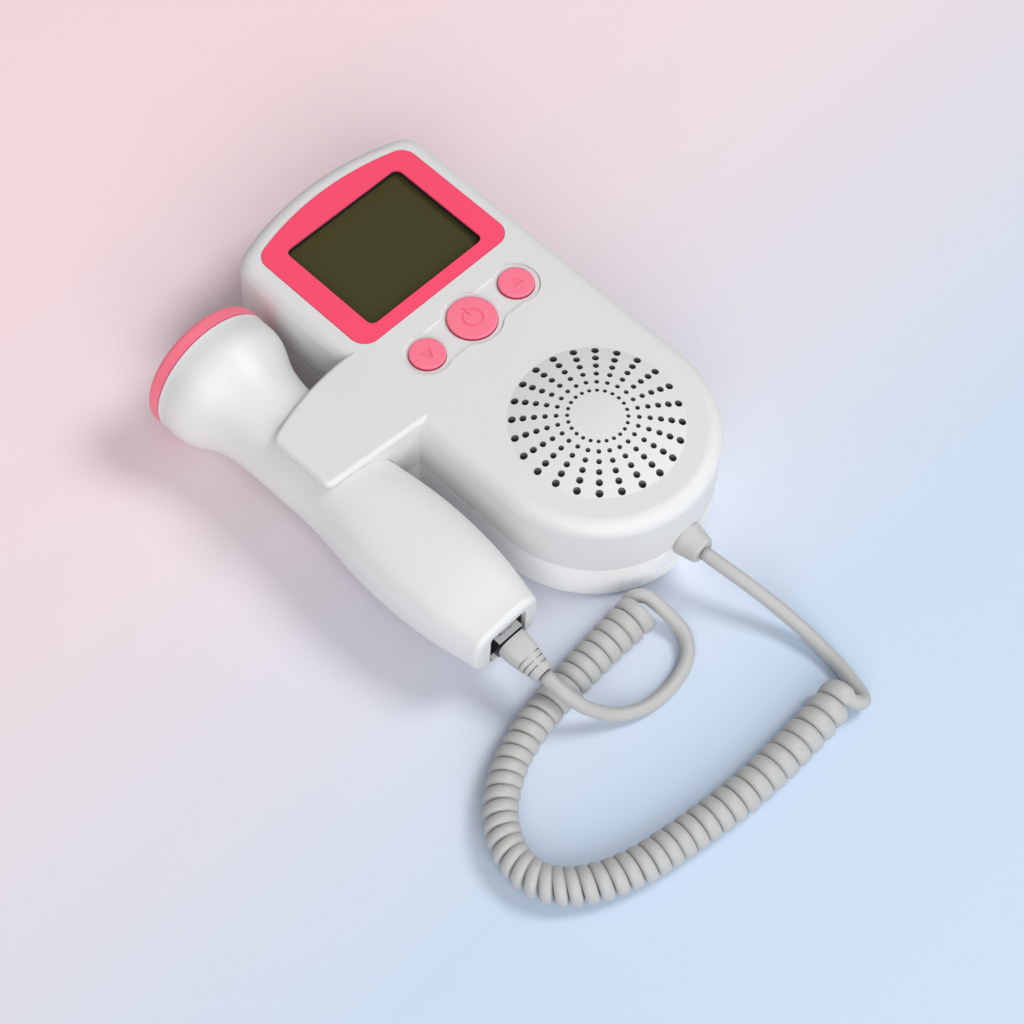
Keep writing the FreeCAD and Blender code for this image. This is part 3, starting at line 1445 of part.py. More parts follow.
def boot_shape():
    """The boot: a soft rectangle at the plug, round at the cord, with three grooved rings."""
    y0 = float(s.probe_tail - s.boot_start)
    length = float(s.boot_length)
    wide = float(s.boot_width) / 2
    tall = float(s.boot_height) / 2
    end = float(s.boot_end_radius)
    level_z = float(plug_z)
    stages = [(0.0, wide, tall, 3.2), (0.35, wide, tall, 3.2), (0.62, 0.88 * wide, 0.92 * tall, 2.6),
              (1.0, end, end, 2.0)]
    sections = [oval(y0 - part * length, w, t, power, level_z) for part, w, t, power in stages]
    boot = Part.makeLoft(sections, True, False)
    for ring in range(3):
        y = y0 - length * (0.56 + 0.13 * ring)
        size = wide * (0.98 - 0.11 * ring)
        outer = Part.makeCylinder(2 * wide, 0.45, Vector(float(probe_x), y, level_z), Vector(0, 1, 0))
        inner = Part.makeCylinder(size * 0.82, 0.45, Vector(float(probe_x), y, level_z), Vector(0, 1, 0))
        rib_gap = Part.makeBox(
            1.1, 2, 4 * tall, Vector(float(probe_x) - 0.55, y - 1, level_z - 2 * tall),
        )
        boot = boot.cut(outer.cut(inner).cut(rib_gap))
    bore = Part.makeCylinder(
        float(s.cord_diameter) / 2, 3, Vector(float(probe_x), y0 - length, level_z), Vector(0, 1, 0)
    )
    boot = boot.cut(bore)
    boot.rotate(boot_tilt_about(), Vector(1, 0, 0), float(s.boot_tilt))
    half = Part.makeBox(60, 60, 60, Vector(float(probe_x) - 30, y0 - 60, float(plug_z) - 30))
    return largest(boot.common(half))


# ---------------------------------------------------------------- cord
lying = float(s.cord_diameter) / 2 + float(s.floor_gap)
coil_axis_z = float(s.coil_diameter) / 2 + float(s.floor_gap)


def boot_end():
    """The middle of the boot's open end and the way the cord leaves it."""
    tilt = math.radians(float(s.boot_tilt))
    along = Vector(0, -math.cos(tilt), -math.sin(tilt))
    return boot_tilt_about() + along * float(s.boot_length), along


def unit_lead_points():
    """From the strain relief down to the surface and back into the coil's far end."""
    start_y = float(relief_base_y - s.relief_length)
    x = float(s.relief_side)
    z = float(relief_z)
    return [
        Vector(x, start_y, z),
        Vector(x + 0.5, start_y - 6.0, z - 0.6),
        Vector(x + 2.0, start_y - 13.0, z - 3.2),
        Vector(x + 3.8, start_y - 21.0, z - 7.2),
        Vector(x + 5.0, start_y - 29.0, 4.0),
        Vector(6.4, -74.6, 2.1),
        Vector(5.6, -81.9, 2.2),
        Vector(1.3, -86.5, coil_axis_z),
        coil_points()[0],
    ]


def coil_points():
    """The coiled stretch lies in a long bend beside the probe's tail."""
    return [Vector(x, y, coil_axis_z) for x, y in (
        (-3.2, -86.7), (-14.0, -87.2), (-27.0, -87.0), (-41.0, -86.3), (-55.0, -84.5),
        (-69.5, -82.0), (-81.5, -76.6), (-88.9, -68.8), (-89.3, -58.6), (-83.8, -48.8),
        (-73.6, -42.2), (-60.5, -38.3), (-47.0, -36.7), (-32.6, -35.7), (-19.6, -35.36),
    )]


def probe_lead_points():
    """From the boot over the coil, round a loop on the surface and into the coil's near end."""
    start, along = boot_end()
    first = start + along * float(s.cord_gap)
    return [
        first,
        first + along * 4.8,
        Vector(-52.0, -43.2, 12.9),
        Vector(-49.7, -47.6, 9.6),
        Vector(-45.8, -51.4, 5.8),
        Vector(-40.4, -54.4, 2.8),
        Vector(-34.0, -55.9, lying),
        Vector(-27.4, -55.7, lying),
        Vector(-21.4, -53.6, lying),
        Vector(-16.3, -50.0, lying),
        Vector(-12.8, -45.2, 2.2),
        Vector(-11.6, -40.2, 3.4),
        Vector(-14.3, -35.22, coil_axis_z),
        coil_points()[-1],
    ]


def tube(name, points, diameter):
    """A round tube along straight runs joined by tangent arcs, as large as the runs allow."""
    corners = []
    radii = []
    for before, here, after in zip(points, points[1:], points[2:]):
        inward = (before - here).normalize()
        onward = (after - here).normalize()
        half_turn = (math.pi - inward.getAngle(onward)) / 2
        reach = 0.45 * min((before - here).Length, (after - here).Length)
        radius = reach / math.tan(half_turn)
        middle = (inward + onward).normalize()
        centre = here + middle * (radius / math.cos(half_turn))
        corners.append((here + inward * reach, centre - middle * radius, here + onward * reach))
        radii.append(radius)
    edges = []
    last = points[0]
    for start, middle, end in corners:
        edges.append(Part.LineSegment(last, start).toShape())
        edges.append(Part.Arc(start, middle, end).toShape())
        last = end
    edges.append(Part.LineSegment(last, points[-1]).toShape())
    path = Part.Wire(edges)
    way = points[1] - points[0]
    section = Part.Wire([Part.Circle(points[0], way, diameter / 2).toShape()])
    solid = path.makePipeShell([section], True, False)
    expected = math.pi * diameter ** 2 / 4 * path.Length
    print(f"{name}: length {path.Length:.1f}, volume {solid.Volume:.0f} of {expected:.0f}, "
          f"tightest radius {min(radii):.1f}, radii", [round(radius, 1) for radius in radii])
    return solid


def cord():
    diameter = float(s.cord_diameter)
    node("cord_unit_lead", feature("unit_lead", tube("unit lead", unit_lead_points(), diameter)))
    node("cord_coil", feature("coil", tube("coil", coil_points(), float(s.coil_diameter))))
    node("cord_probe_lead", feature("probe_lead", tube("probe lead", probe_lead_points(), diameter)))


# ---------------------------------------------------------------- build, check, write
def check(obj):
    doc_state = [state for state in obj.State if state in ("Invalid", "Error")]
    if doc_state:
        raise RuntimeError(f"{obj.Label} is {doc_state}")


def main():
    front, rear = make_shells()
    front_shell(front)
    rear_shell(rear)
    battery_door(rear)
    display()
    main_board()
    screws()
    buttons()
    loudspeaker()
    batteries()
    strain_relief()
    probe_shells()
    probe_front()
    probe_inside()
    plug()
    cord()
    doc.recompute()
    for obj in doc.Objects:
        check(obj)
    os.makedirs("parts", exist_ok=True)
    for obj in nodes:
        shape = obj.Shape
        if shape.isNull() or not shape.isValid():
            raise RuntimeError(f"{obj.Label} has no valid shape")
        shape.exportStep(f"parts/{obj.Label}.step")
        bounds = shape.BoundBox
        print(f"{obj.Label}: {len(shape.Solids)} solids, {shape.Volume:.1f} mm3, "
              f"x {bounds.XMin:.1f}..{bounds.XMax:.1f} y {bounds.YMin:.1f}..{bounds.YMax:.1f} "
              f"z {bounds.ZMin:.1f}..{bounds.ZMax:.1f}")


main()
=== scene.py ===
# %% [markdown]
# # A hand-held fetal doppler monitor
#
# A listening device for the home: a white display unit with a screen, three buttons and a
# loudspeaker, and beside it a hand probe that rests in a cradle on the unit's flank. A curly cord
# joins the two. The measured model comes from CAD and is loaded as a fixed frame. This lesson
# gives it a camera, a cord with real turns, light, and one finish for each kind of part.
#
# The order is camera, cord, floor and light, finishes. The cord comes early because it is the
# only piece whose shape is made here.

import math

import bpy
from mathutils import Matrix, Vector


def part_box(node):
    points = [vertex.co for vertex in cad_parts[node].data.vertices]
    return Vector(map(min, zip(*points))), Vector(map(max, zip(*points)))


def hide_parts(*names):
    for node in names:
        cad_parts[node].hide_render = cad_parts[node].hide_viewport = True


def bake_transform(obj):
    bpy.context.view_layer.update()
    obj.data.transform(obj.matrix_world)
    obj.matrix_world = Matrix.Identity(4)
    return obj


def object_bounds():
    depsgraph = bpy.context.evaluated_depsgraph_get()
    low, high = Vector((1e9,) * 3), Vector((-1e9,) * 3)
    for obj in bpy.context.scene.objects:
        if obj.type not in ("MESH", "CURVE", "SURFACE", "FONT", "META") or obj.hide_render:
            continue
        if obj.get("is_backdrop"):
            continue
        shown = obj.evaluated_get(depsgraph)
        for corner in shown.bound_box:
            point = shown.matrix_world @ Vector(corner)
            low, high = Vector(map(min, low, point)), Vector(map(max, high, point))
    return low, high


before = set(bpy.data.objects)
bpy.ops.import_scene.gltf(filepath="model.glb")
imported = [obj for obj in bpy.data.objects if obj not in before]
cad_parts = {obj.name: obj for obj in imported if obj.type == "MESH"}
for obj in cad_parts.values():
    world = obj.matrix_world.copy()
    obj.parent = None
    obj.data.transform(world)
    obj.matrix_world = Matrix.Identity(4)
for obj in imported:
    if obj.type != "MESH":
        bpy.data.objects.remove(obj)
cad_low, cad_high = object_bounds()
MM = 0.001
print("nodes:", len(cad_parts), "size in mm:", [round(v / MM, 1) for v in cad_high - cad_low])

# %% [markdown]
# ## The camera
#
# A product picture of a small thing is taken from far away with a long lens, so that the sides
# stay nearly parallel. This one stands about 60 cm off and looks steeply down over the unit's
# lower left corner. The roll keeps the unit leaning to the left in the picture.

# %% Place the camera
lens = bpy.data.cameras.new("product_camera")
lens.sensor_width = 36.0
lens.lens = 85.12
camera = bpy.data.objects.new("product_camera", lens)
camera.location = (-0.259558, -0.201461, 0.529536)
camera.rotation_euler = [math.radians(angle) for angle in (31.0668, -2.0060, -45.4766)]
bpy.context.scene.collection.objects.link(camera)
bpy.context.scene.camera = camera
print("camera", round(camera.location.length, 3), "m from the grille's centre")

# %% [markdown]
# ## The cord's route
#
# A curly cord is one wire: a straight lead, a long row of turns round an invisible axis, and a
# second lead. A NURBS spline draws such a line well, because it rounds its own corners. Three
# lists of control points say where the wire and the axis of its turns run, from the strain relief
# on the unit, through the turns, to the boot on the probe. Each lead ends by climbing over the
# last turn, wider than the turns themselves, as a cord does where its coil begins.

# %% Control points of the two leads and the coil's axis
unit_lead = [
    (0.0006, -0.03742, 0.0135), (0.0013, -0.04342, 0.0129), (0.0034, -0.05102, 0.0103),
    (0.0057, -0.05922, 0.0063), (0.0068, -0.06732, 0.0038), (0.0069, -0.0748, 0.0021),
    (0.0063, -0.0798, 0.0020), (0.0053, -0.0841, 0.0020), (0.0044, -0.0875, 0.0024),
    (0.0029, -0.0898, 0.0034), (0.0010, -0.0902, 0.0050), (-0.0008, -0.0893, 0.0066),
]
coil_axis = [
    (-0.0014, -0.0853, 0.0052), (-0.0140, -0.08615, 0.0052), (-0.0270, -0.0864, 0.0052),
    (-0.0410, -0.08575, 0.0051), (-0.0549, -0.0839, 0.0050), (-0.0693, -0.0813, 0.0050),
    (-0.0810, -0.0761, 0.0049), (-0.08815, -0.0688, 0.0048), (-0.0887, -0.0589, 0.0046),
    (-0.0834, -0.0494, 0.0046), (-0.0736, -0.0422, 0.0046), (-0.0605, -0.0380, 0.0048),
    (-0.0470, -0.0364, 0.0049), (-0.0326, -0.0355, 0.0052), (-0.0196, -0.0352, 0.0056),
    (-0.0141, -0.0353, 0.0057),
]
probe_lead = [
    (-0.0524, -0.03406, 0.01441), (-0.0524, -0.03880, 0.01366), (-0.0514, -0.0417, 0.0122),
    (-0.0495, -0.0452, 0.0087), (-0.0443, -0.0499, 0.0041), (-0.0378, -0.0531, 0.0020),
    (-0.0302, -0.0542, 0.0019), (-0.0226, -0.0531, 0.0019), (-0.0174, -0.0505, 0.0019),
    (-0.0144, -0.0464, 0.0024), (-0.0141, -0.0427, 0.0034), (-0.0144, -0.0396, 0.0047),
    (-0.0149, -0.0365, 0.0061), (-0.0155, -0.0341, 0.0069), (-0.0168, -0.0324, 0.0071),
    (-0.0184, -0.0313, 0.0065), (-0.0195, -0.0312, 0.0049), (-0.0197, -0.0318, 0.0031),
    (-0.0196, -0.0330, 0.0021), (-0.0195, -0.0350, 0.0019),
]
print(len(unit_lead), len(coil_axis), len(probe_lead), "control points")

# %% [markdown]
# A small function makes the spline, and another reads back the points that Blender draws along
# it. The order and the end points are set after the points exist, because Blender lowers the
# order of a spline that is still too short.

# %% Draw a smooth line and read it back
def smooth_line(name, places, steps):
    """A NURBS curve with these control points, drawn in so many steps from one to the next."""
    curve = bpy.data.curves.new(name, "CURVE")
    curve.dimensions = "3D"
    spline = curve.splines.new("NURBS")
    spline.points.add(len(places) - 1)
    for point, place in zip(spline.points, places):
        point.co = (*place, 1.0)
    spline.order_u = 3
    spline.use_endpoint_u = True
    spline.resolution_u = steps
    return bpy.data.objects.new(name, curve)


def points_along(line):
    drawn = bpy.data.meshes.new_from_object(line)
    return [v.co.copy() for v in drawn.vertices]


def length_of(places):
    return sum((b - a).length for a, b in zip(places, places[1:]))


axis_points = points_along(smooth_line("coil_axis_line", coil_axis, steps=24))
print("coil axis", round(length_of(axis_points) / MM, 1), "mm long")

# %% [markdown]
# ## The turns
#
# The wire is 3.7 mm thick and winds at about 3 mm from the axis. A used cord isn't even: its
# turns are wider and further apart near the unit, and tighter in the bend. So the step from turn
# to turn and the turns' radius are two short tables of place and value in millimetres, read off
# in between. The turns lie close to each other all along.

# %% How far the axis moves on in one turn, and how wide the turn is
WIRE = 3.7 * MM
# each pair is a place along the axis and the value there, both in millimetres
STEPS = [
    (0, 4.97), (8, 4.8), (22, 4.5), (31, 4.3), (39, 3.96), (46, 3.82), (58, 3.67), (64, 3.57),
    (80, 3.5), (86, 3.13), (108, 3.13), (114, 3.6), (142, 3.63), (167, 3.85), (182, 4.1),
]
RADII = [
    (0, 3.3), (26, 3.35), (47, 3.15), (82, 3.05), (98, 2.7), (130, 2.65), (150, 3.0),
    (164, 3.3), (178, 3.8),
]


def read_off(table, place):
    """The table's value at this many millimetres along the axis, in metres."""
    for (a, value_a), (b, value_b) in zip(table, table[1:]):
        if place <= b:
            share = max(place - a, 0) / (b - a)
            return (value_a + (value_b - value_a) * share) * MM
    return table[-1][1] * MM


tightest = min(step for _, step in STEPS)
print("steps of", STEPS[0][1], "mm at the unit's end and", tightest, "mm in the bend")

# %% [markdown]
# The turns don't stand quite square to the axis: on straight stretches they lean back a little,
# and in the bend they lean the other way. So the winding has to know how sharply its axis bends
# at each place.

# %% Measure the bend of a line
TOO_SHORT = 1e-9  # metres; a shorter run has no direction


def sharpness(line, i, span=12):
    """How sharply the line bends at point i, seen span points to each side: one over the bend's
    radius, in 1/mm."""
    a, b, c = line[max(i - span, 0)], line[i], line[min(i + span, len(line) - 1)]
    run, onward = b - a, c - b
    if run.length < TOO_SHORT or onward.length < TOO_SHORT:
        return 0.0
    return run.angle(onward) / ((run.length + onward.length) / 2) * MM


sharpest = max(sharpness(axis_points, i) for i in range(len(axis_points)))
print("the axis' tightest bend has a radius of", round(1 / sharpest, 1), "mm")

# %% [markdown]
# The winding is right-handed. Sixteen control points a turn keep each turn round. It stops a
# turn and a half before its axis does, because the second lead makes the last climb over the
# coil.

# %% Wind the wire round its axis
PER_TURN = 16
FIRST_TURN, LAST_TURN = -1.133, 46.36
LEAN = 0.15  # on a straight stretch, per metre to the side of the axis
LEAN_IN_BEND = 4.5  # less for each 1/mm of sharpness


def turns_round(line, first, last):
    """Control points of a winding round the line, from one count of turns to another; whole
    numbers are at the top. With each comes the axis' direction and the wire's breadth along it."""
    winding, turns, due, gone = [], first, first, 0.0
    for i in range(len(line) - 1):
        along = line[i + 1] - line[i]
        run = along.length
        if run < TOO_SHORT:
            continue
        forward = along / run
        side = forward.cross(Vector((0, 0, 1))).normalized()
        above = side.cross(forward)
        lean = LEAN - LEAN_IN_BEND * sharpness(line, i)
        step = read_off(STEPS, gone / MM)
        radius = read_off(RADII, gone / MM)
        while due <= min(turns + run / step, last):
            part = (due - turns) * step / run
            angle = 2 * math.pi * due
            out = (above * math.cos(angle) + side * math.sin(angle)) * radius
            back = forward * (-lean * out.dot(side))
            winding.append((line[i] + along * part + out + back, forward, step))
            due += 1 / PER_TURN
        turns += run / step
        gone += run
    print(round(turns - first, 2), "turns fit,", round(due - first, 2), "wound")
    return winding


winding = turns_round(axis_points, FIRST_TURN, LAST_TURN)

# %% [markdown]
# Lead, turns and lead become the control points of one spline, so the wire flows from one into
# the other as a real one does. Of the many points that Blender draws along it, one about every
# millimetre carries a ring of the mesh.

# %% Join the route and pick the rings' places
RING_GAP = 0.9 * MM
# with each place go the coil's direction there, none on a lead, and the wire's breadth along it
route = [(Vector(place), None, WIRE) for place in unit_lead] + winding
route += [(Vector(place), None, WIRE) for place in reversed(probe_lead)]
cord_line = points_along(smooth_line("cord_route_line", [place for place, _, _ in route], steps=8))


def evenly(line, gap):
    """Picks about one point every gap metres, by number."""
    kept, since = [0], 0.0
    for i in range(1, len(line)):
        since += (line[i] - line[i - 1]).length
        if since >= gap:
            kept.append(i)
            since = 0.0
    return kept[:-1] + [len(line) - 1]


ring_places = evenly(cord_line, RING_GAP)
print(len(route), "control points,", len(cord_line), "drawn,", len(ring_places), "rings")

# %% [markdown]
# Between the turns the soft jacket is pressed to the room that it has, so a ring is a little
# broader or narrower along the coil's axis than across it.

# %% The outline of a ring
SQUARENESS = 3.2  # 2 is an ellipse, and a large number is nearly a rectangle
GROOVE = 0.03  # share of the breadth that stays open between two turns


def pressed(slant, thick, breadth):
    """How far the jacket reaches in a direction with this share along the coil's axis. Its
    section is between an ellipse and a rectangle, so neighbours meet in a narrow groove."""
    along = abs(slant) / (breadth * (1 - GROOVE) / 2)
    across = math.sqrt(1 - slant * slant) / (thick / 2)
    return (along ** SQUARENESS + across ** SQUARENESS) ** (-1 / SQUARENESS)


breadth = 2 * pressed(1.0, WIRE, STEPS[0][1] * MM)
print("the first turn is", round(breadth / MM, 2), "mm broad along the axis")

# %% [markdown]
# The rings stand square to the wire and are joined into a closed tube. Each ring's upward
# direction is carried on from the ring before it, so the tube doesn't twist.

# %% Sweep the wire
def sweep(name, line, picked, thick, around=16):
    """A closed tube whose rings sit at the picked points of the line."""
    centres = [line[i] for i in picked]
    corners, faces, up = [], [], Vector((0, 0, 1))
    for k, i in enumerate(picked):
        ahead = (centres[min(k + 1, len(centres) - 1)] - centres[max(k - 1, 0)]).normalized()
        up = (up - ahead * up.dot(ahead)).normalized()
        beside = ahead.cross(up)
        _, axis, breadth = route[round(i / (len(line) - 1) * (len(route) - 1))]
        for j in range(around):
            turn = 2 * math.pi * j / around
            out = up * math.cos(turn) + beside * math.sin(turn)
            reach = thick / 2 if axis is None else pressed(out.dot(axis), thick, breadth)
            corners.append(centres[k] + out * reach)
    for k in range(len(centres) - 1):
        for j in range(around):
            a, b = k * around + j, k * around + (j + 1) % around
            faces.append((a, b, b + around, a + around))
    faces.append(tuple(reversed(range(around))))
    faces.append(tuple(range(len(corners) - around, len(corners))))
    mesh = bpy.data.meshes.new(name)
    mesh.from_pydata(corners, [], faces)
    mesh.polygons.foreach_set("use_smooth", [True] * len(mesh.polygons))
    piece = bpy.data.objects.new(name, mesh)
    bpy.context.scene.collection.objects.link(piece)
    return piece, centres


wire, ring_centres = sweep("curly_cord", cord_line, ring_places, WIRE)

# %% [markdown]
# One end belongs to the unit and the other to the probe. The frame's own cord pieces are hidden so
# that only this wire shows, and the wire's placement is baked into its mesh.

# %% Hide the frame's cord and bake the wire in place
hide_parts("cord_unit_lead", "cord_coil", "cord_probe_lead")
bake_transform(wire)

# %% [markdown]
# ## Materials as graphs
#
# A Blender material is a graph of nodes. Two helpers keep such graphs short. One turns a colour
# from a paint chart into the linear numbers that light adds up in, and the other adds a node
# with its settings and its links in one go.

# %% Two helpers for every material that follows
def paint(hex_code):
    """A colour from a paint chart, as linear red, green, blue and a full alpha."""
    parts = [int(hex_code[i:i + 2], 16) / 255 for i in (1, 3, 5)]
    return [p / 12.92 if p <= 0.04045 else ((p + 0.055) / 1.055) ** 2.4 for p in parts] + [1.0]


def add_node(tree, kind, settings=None, links=None):
    """Adds a node, gives it its settings, and wires other nodes' outputs to its inputs."""
    node = tree.nodes.new(kind)
    for key, value in (settings or {}).items():
        if isinstance(key, int) or key in node.inputs:
            node.inputs[key].default_value = value
        else:
            setattr(node, key, value)
    for key, source in (links or {}).items():
        tree.links.new(source, node.inputs[key])
    return node


print("white paint is", [round(c, 3) for c in paint("#F0F0F0")])

# %% [markdown]
# ## Floor and light
#
# The device lies on a smooth pale sheet whose tint drifts from rose to light blue. The sheet is
# one large plane; its colour follows the place on the floor. So its material has to know where a
# spot lies. Two more helpers start a material with an empty graph, and ask for a spot's place or
# for the direction that the surface faces there.

# %% Start the paper's material
def plain_material(name):
    material = bpy.data.materials.new(name)
    material.use_nodes = True
    material.node_tree.nodes.clear()
    return material, material.node_tree


def coordinate(tree, kind, letter=None):
    """The spot's place, "Object", or the surface's direction, "Normal"; with X, Y or Z, that
    number of it alone."""
    vector = add_node(tree, "ShaderNodeTexCoord").outputs[kind]
    if letter is None:
        return vector
    return add_node(tree, "ShaderNodeSeparateXYZ", links={0: vector}).outputs[letter]


paper, tree = plain_material("matt_paper_rose_to_blue")
across_sheet = coordinate(tree, "Object", "Y")
print(paper.name, "starts with", len(tree.nodes), "nodes")

# %% [markdown]
# A ramp turns that place into the tint: rose beyond the display's end of the unit, light blue
# beyond its round end. Paper is matt, so the sheet is rough and hardly mirrors anything.

# %% Tint the paper
ROSE_Y, BLUE_Y = 0.175, -0.067
drift = add_node(
    tree, "ShaderNodeMapRange",
    {"From Min": ROSE_Y, "From Max": BLUE_Y, "interpolation_type": "LINEAR"},
    {"Value": across_sheet},
)
tint = add_node(tree, "ShaderNodeValToRGB", links={"Fac": drift.outputs["Result"]})
stops = tint.color_ramp.elements
stops[0].color = paint("#FFE3E7")
stops[1].color = paint("#CADAEE")
for share, colour in ((0.49, "#EDE0E6"), (0.81, "#D8DDE9")):
    stops.new(share).color = paint(colour)
sheet_shader = add_node(
    tree, "ShaderNodeBsdfPrincipled",
    {"Roughness": 0.9, "Specular IOR Level": 0.1}, {"Base Color": tint.outputs["Color"]},
)
add_node(tree, "ShaderNodeOutputMaterial", links={"Surface": sheet_shader.outputs["BSDF"]})
print("the tint drifts over", round((ROSE_Y - BLUE_Y) / MM), "mm in", len(stops), "stops")

# %% Lay the sheet
HALF_SHEET = 3.0
corners = [(x * HALF_SHEET, y * HALF_SHEET, 0) for x, y in ((-1, -1), (1, -1), (1, 1), (-1, 1))]
sheet_mesh = bpy.data.meshes.new("paper_sheet")
sheet_mesh.from_pydata(corners, [], [(0, 1, 2, 3)])
sheet_mesh.materials.append(paper)
floor = bpy.data.objects.new("paper_sheet", sheet_mesh)
bpy.context.scene.collection.objects.link(floor)
floor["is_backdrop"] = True
print("sheet", 2 * HALF_SHEET, "m wide")

# %% [markdown]
# The light is soft. The key stands on the right of the picture, so the shadows are short, blurred
# and fall to the left. A wide fill stands a third of the way up on the camera's side and lights
# the upright walls that face it. A pale, even world fills the rest.

# %% Light it
def soft_box(name, place, aim, width, watts):
    light = bpy.data.lights.new(name, "AREA")
    light.shape = "DISK"
    light.size = width
    light.energy = watts
    lamp = bpy.data.objects.new(name, light)
    lamp.location = place
    lamp.rotation_euler = (Vector(aim) - Vector(place)).to_track_quat("-Z", "Y").to_euler()
    bpy.context.scene.collection.objects.link(lamp)


middle = (-0.03, 0.01, 0.015)
soft_box("key_from_the_right", (0.74, -0.42, 1.25), middle, width=0.6, watts=10.2)
soft_box("wide_fill_in_front", (-0.80, -1.00, 0.85), middle, width=1.5, watts=18.0)

world = bpy.data.worlds.new("pale_room")
world.use_nodes = True
tree = world.node_tree
tree.nodes.clear()
air = add_node(tree, "ShaderNodeBackground", {"Color": paint("#EFEFEF"), "Strength": 0.35})
add_node(tree, "ShaderNodeOutputWorld", links={"Surface": air.outputs["Background"]})
bpy.context.scene.world = world
bpy.context.scene.view_settings.view_transform = "Standard"

# %% [markdown]
# ## Finishes
#
# Nearly everything here is a moulded plastic: one colour right through, a soft gloss, and a fine
# grain that the mould leaves. A real moulding is never perfectly even: the colour drifts a little
# over a few centimetres and the gloss changes with the grain. So one function makes such a plastic
# from its colour, its gloss and the size and depth of its grain. The first word of a finish's
# name says what it is made of, and that sets its index of refraction.

# %% Moulded plastic
CLOUD = 25 * MM
GLOSS_DRIFT = 0.05
# a mix of colours takes its two colours at inputs 6 and 7 and gives the result at output 2
COLOUR_A, COLOUR_B, MIXED = 6, 7, 2
INDEX = {
    "abs": 1.54, "acrylic": 1.49, "ceramic": 1.6, "epoxy": 1.55, "glass": 1.52, "nylon": 1.53,
    "pet": 1.57, "polycarbonate": 1.585, "pvc": 1.53, "silicone": 1.41,
}
USUAL_INDEX = 1.5
finishes = {}


def tone(hex_code, share):
    """The chart colour made darker or lighter by a share."""
    return [min(c * share, 1.0) for c in paint(hex_code)[:3]] + [1.0]


def moulded(slot, name, colour, roughness, grain_mm, depth_mm, drift=0.02):
    """A finish for a slot; gives its tree, its shader and the output that holds its colour."""
    material, tree = plain_material(name)
    place = coordinate(tree, "Object")
    clouds = add_node(
        tree, "ShaderNodeTexNoise", {"Scale": 1 / CLOUD, "Detail": 2.0}, {"Vector": place},
    )
    body = add_node(
        tree, "ShaderNodeMix",
        {"data_type": "RGBA", COLOUR_A: tone(colour, 1 - drift), COLOUR_B: tone(colour, 1 + drift)},
        {0: clouds.outputs["Fac"]},
    )
    grain = add_node(
        tree, "ShaderNodeTexNoise", {"Scale": 1 / (grain_mm * MM), "Detail": 2.0, "Roughness": 0.6},
        {"Vector": place},
    )
    gloss = add_node(
        tree, "ShaderNodeMapRange",
        {"To Min": roughness - GLOSS_DRIFT, "To Max": roughness + GLOSS_DRIFT},
        {"Value": grain.outputs["Fac"]},
    )
    relief = add_node(
        tree, "ShaderNodeBump", {"Strength": 1.0, "Distance": depth_mm * MM},
        {"Height": grain.outputs["Fac"]},
    )
    index = INDEX.get(name.split("_")[0], USUAL_INDEX)
    shader = add_node(
        tree, "ShaderNodeBsdfPrincipled", {"IOR": index},
        {"Base Color": body.outputs[MIXED], "Roughness": gloss.outputs["Result"],
         "Normal": relief.outputs["Normal"]},
    )
    add_node(tree, "ShaderNodeOutputMaterial", links={"Surface": shader.outputs["BSDF"]})
    finishes[slot] = material
    print(name, "with a grain of", grain_mm, "mm and an index of", index)
    return tree, shader, body.outputs[MIXED]


# %% [markdown]
# Some surfaces change colour within one piece. A mask is a number that is one where the change
# is wanted and nothing elsewhere. It is made by asking whether a value lies between two limits,
# and two masks multiplied give the places where both hold.

# %% Masks
def both(tree, first, second):
    """One where the two masks are both one."""
    return add_node(
        tree, "ShaderNodeMath", {"operation": "MULTIPLY"}, {0: first, 1: second},
    ).outputs[0]


def between(tree, value, low, high):
    """One where the value lies between two numbers, and nothing elsewhere."""
    above = add_node(tree, "ShaderNodeMath", {"operation": "GREATER_THAN", 1: low}, {0: value})
    below = add_node(tree, "ShaderNodeMath", {"operation": "LESS_THAN", 1: high}, {0: value})
    return both(tree, above.outputs[0], below.outputs[0])


def upright(tree, tilt=0.6):
    """One where the surface stands upright, or leans so little that Z has at most this share
    of its direction."""
    return between(tree, coordinate(tree, "Normal", "Z"), -tilt, tilt)


def shade_where(tree, shader, body, mask, colour):
    """Gives the surface another colour where the mask says so."""
    mixed = add_node(
        tree, "ShaderNodeMix", {"data_type": "RGBA", COLOUR_B: paint(colour)},
        {0: mask, COLOUR_A: body},
    ).outputs[MIXED]
    tree.links.new(mixed, shader.inputs["Base Color"])
    return mixed


SLACK = 1 * MM
print("an open end of a mask reaches", SLACK / MM, "mm past the piece")
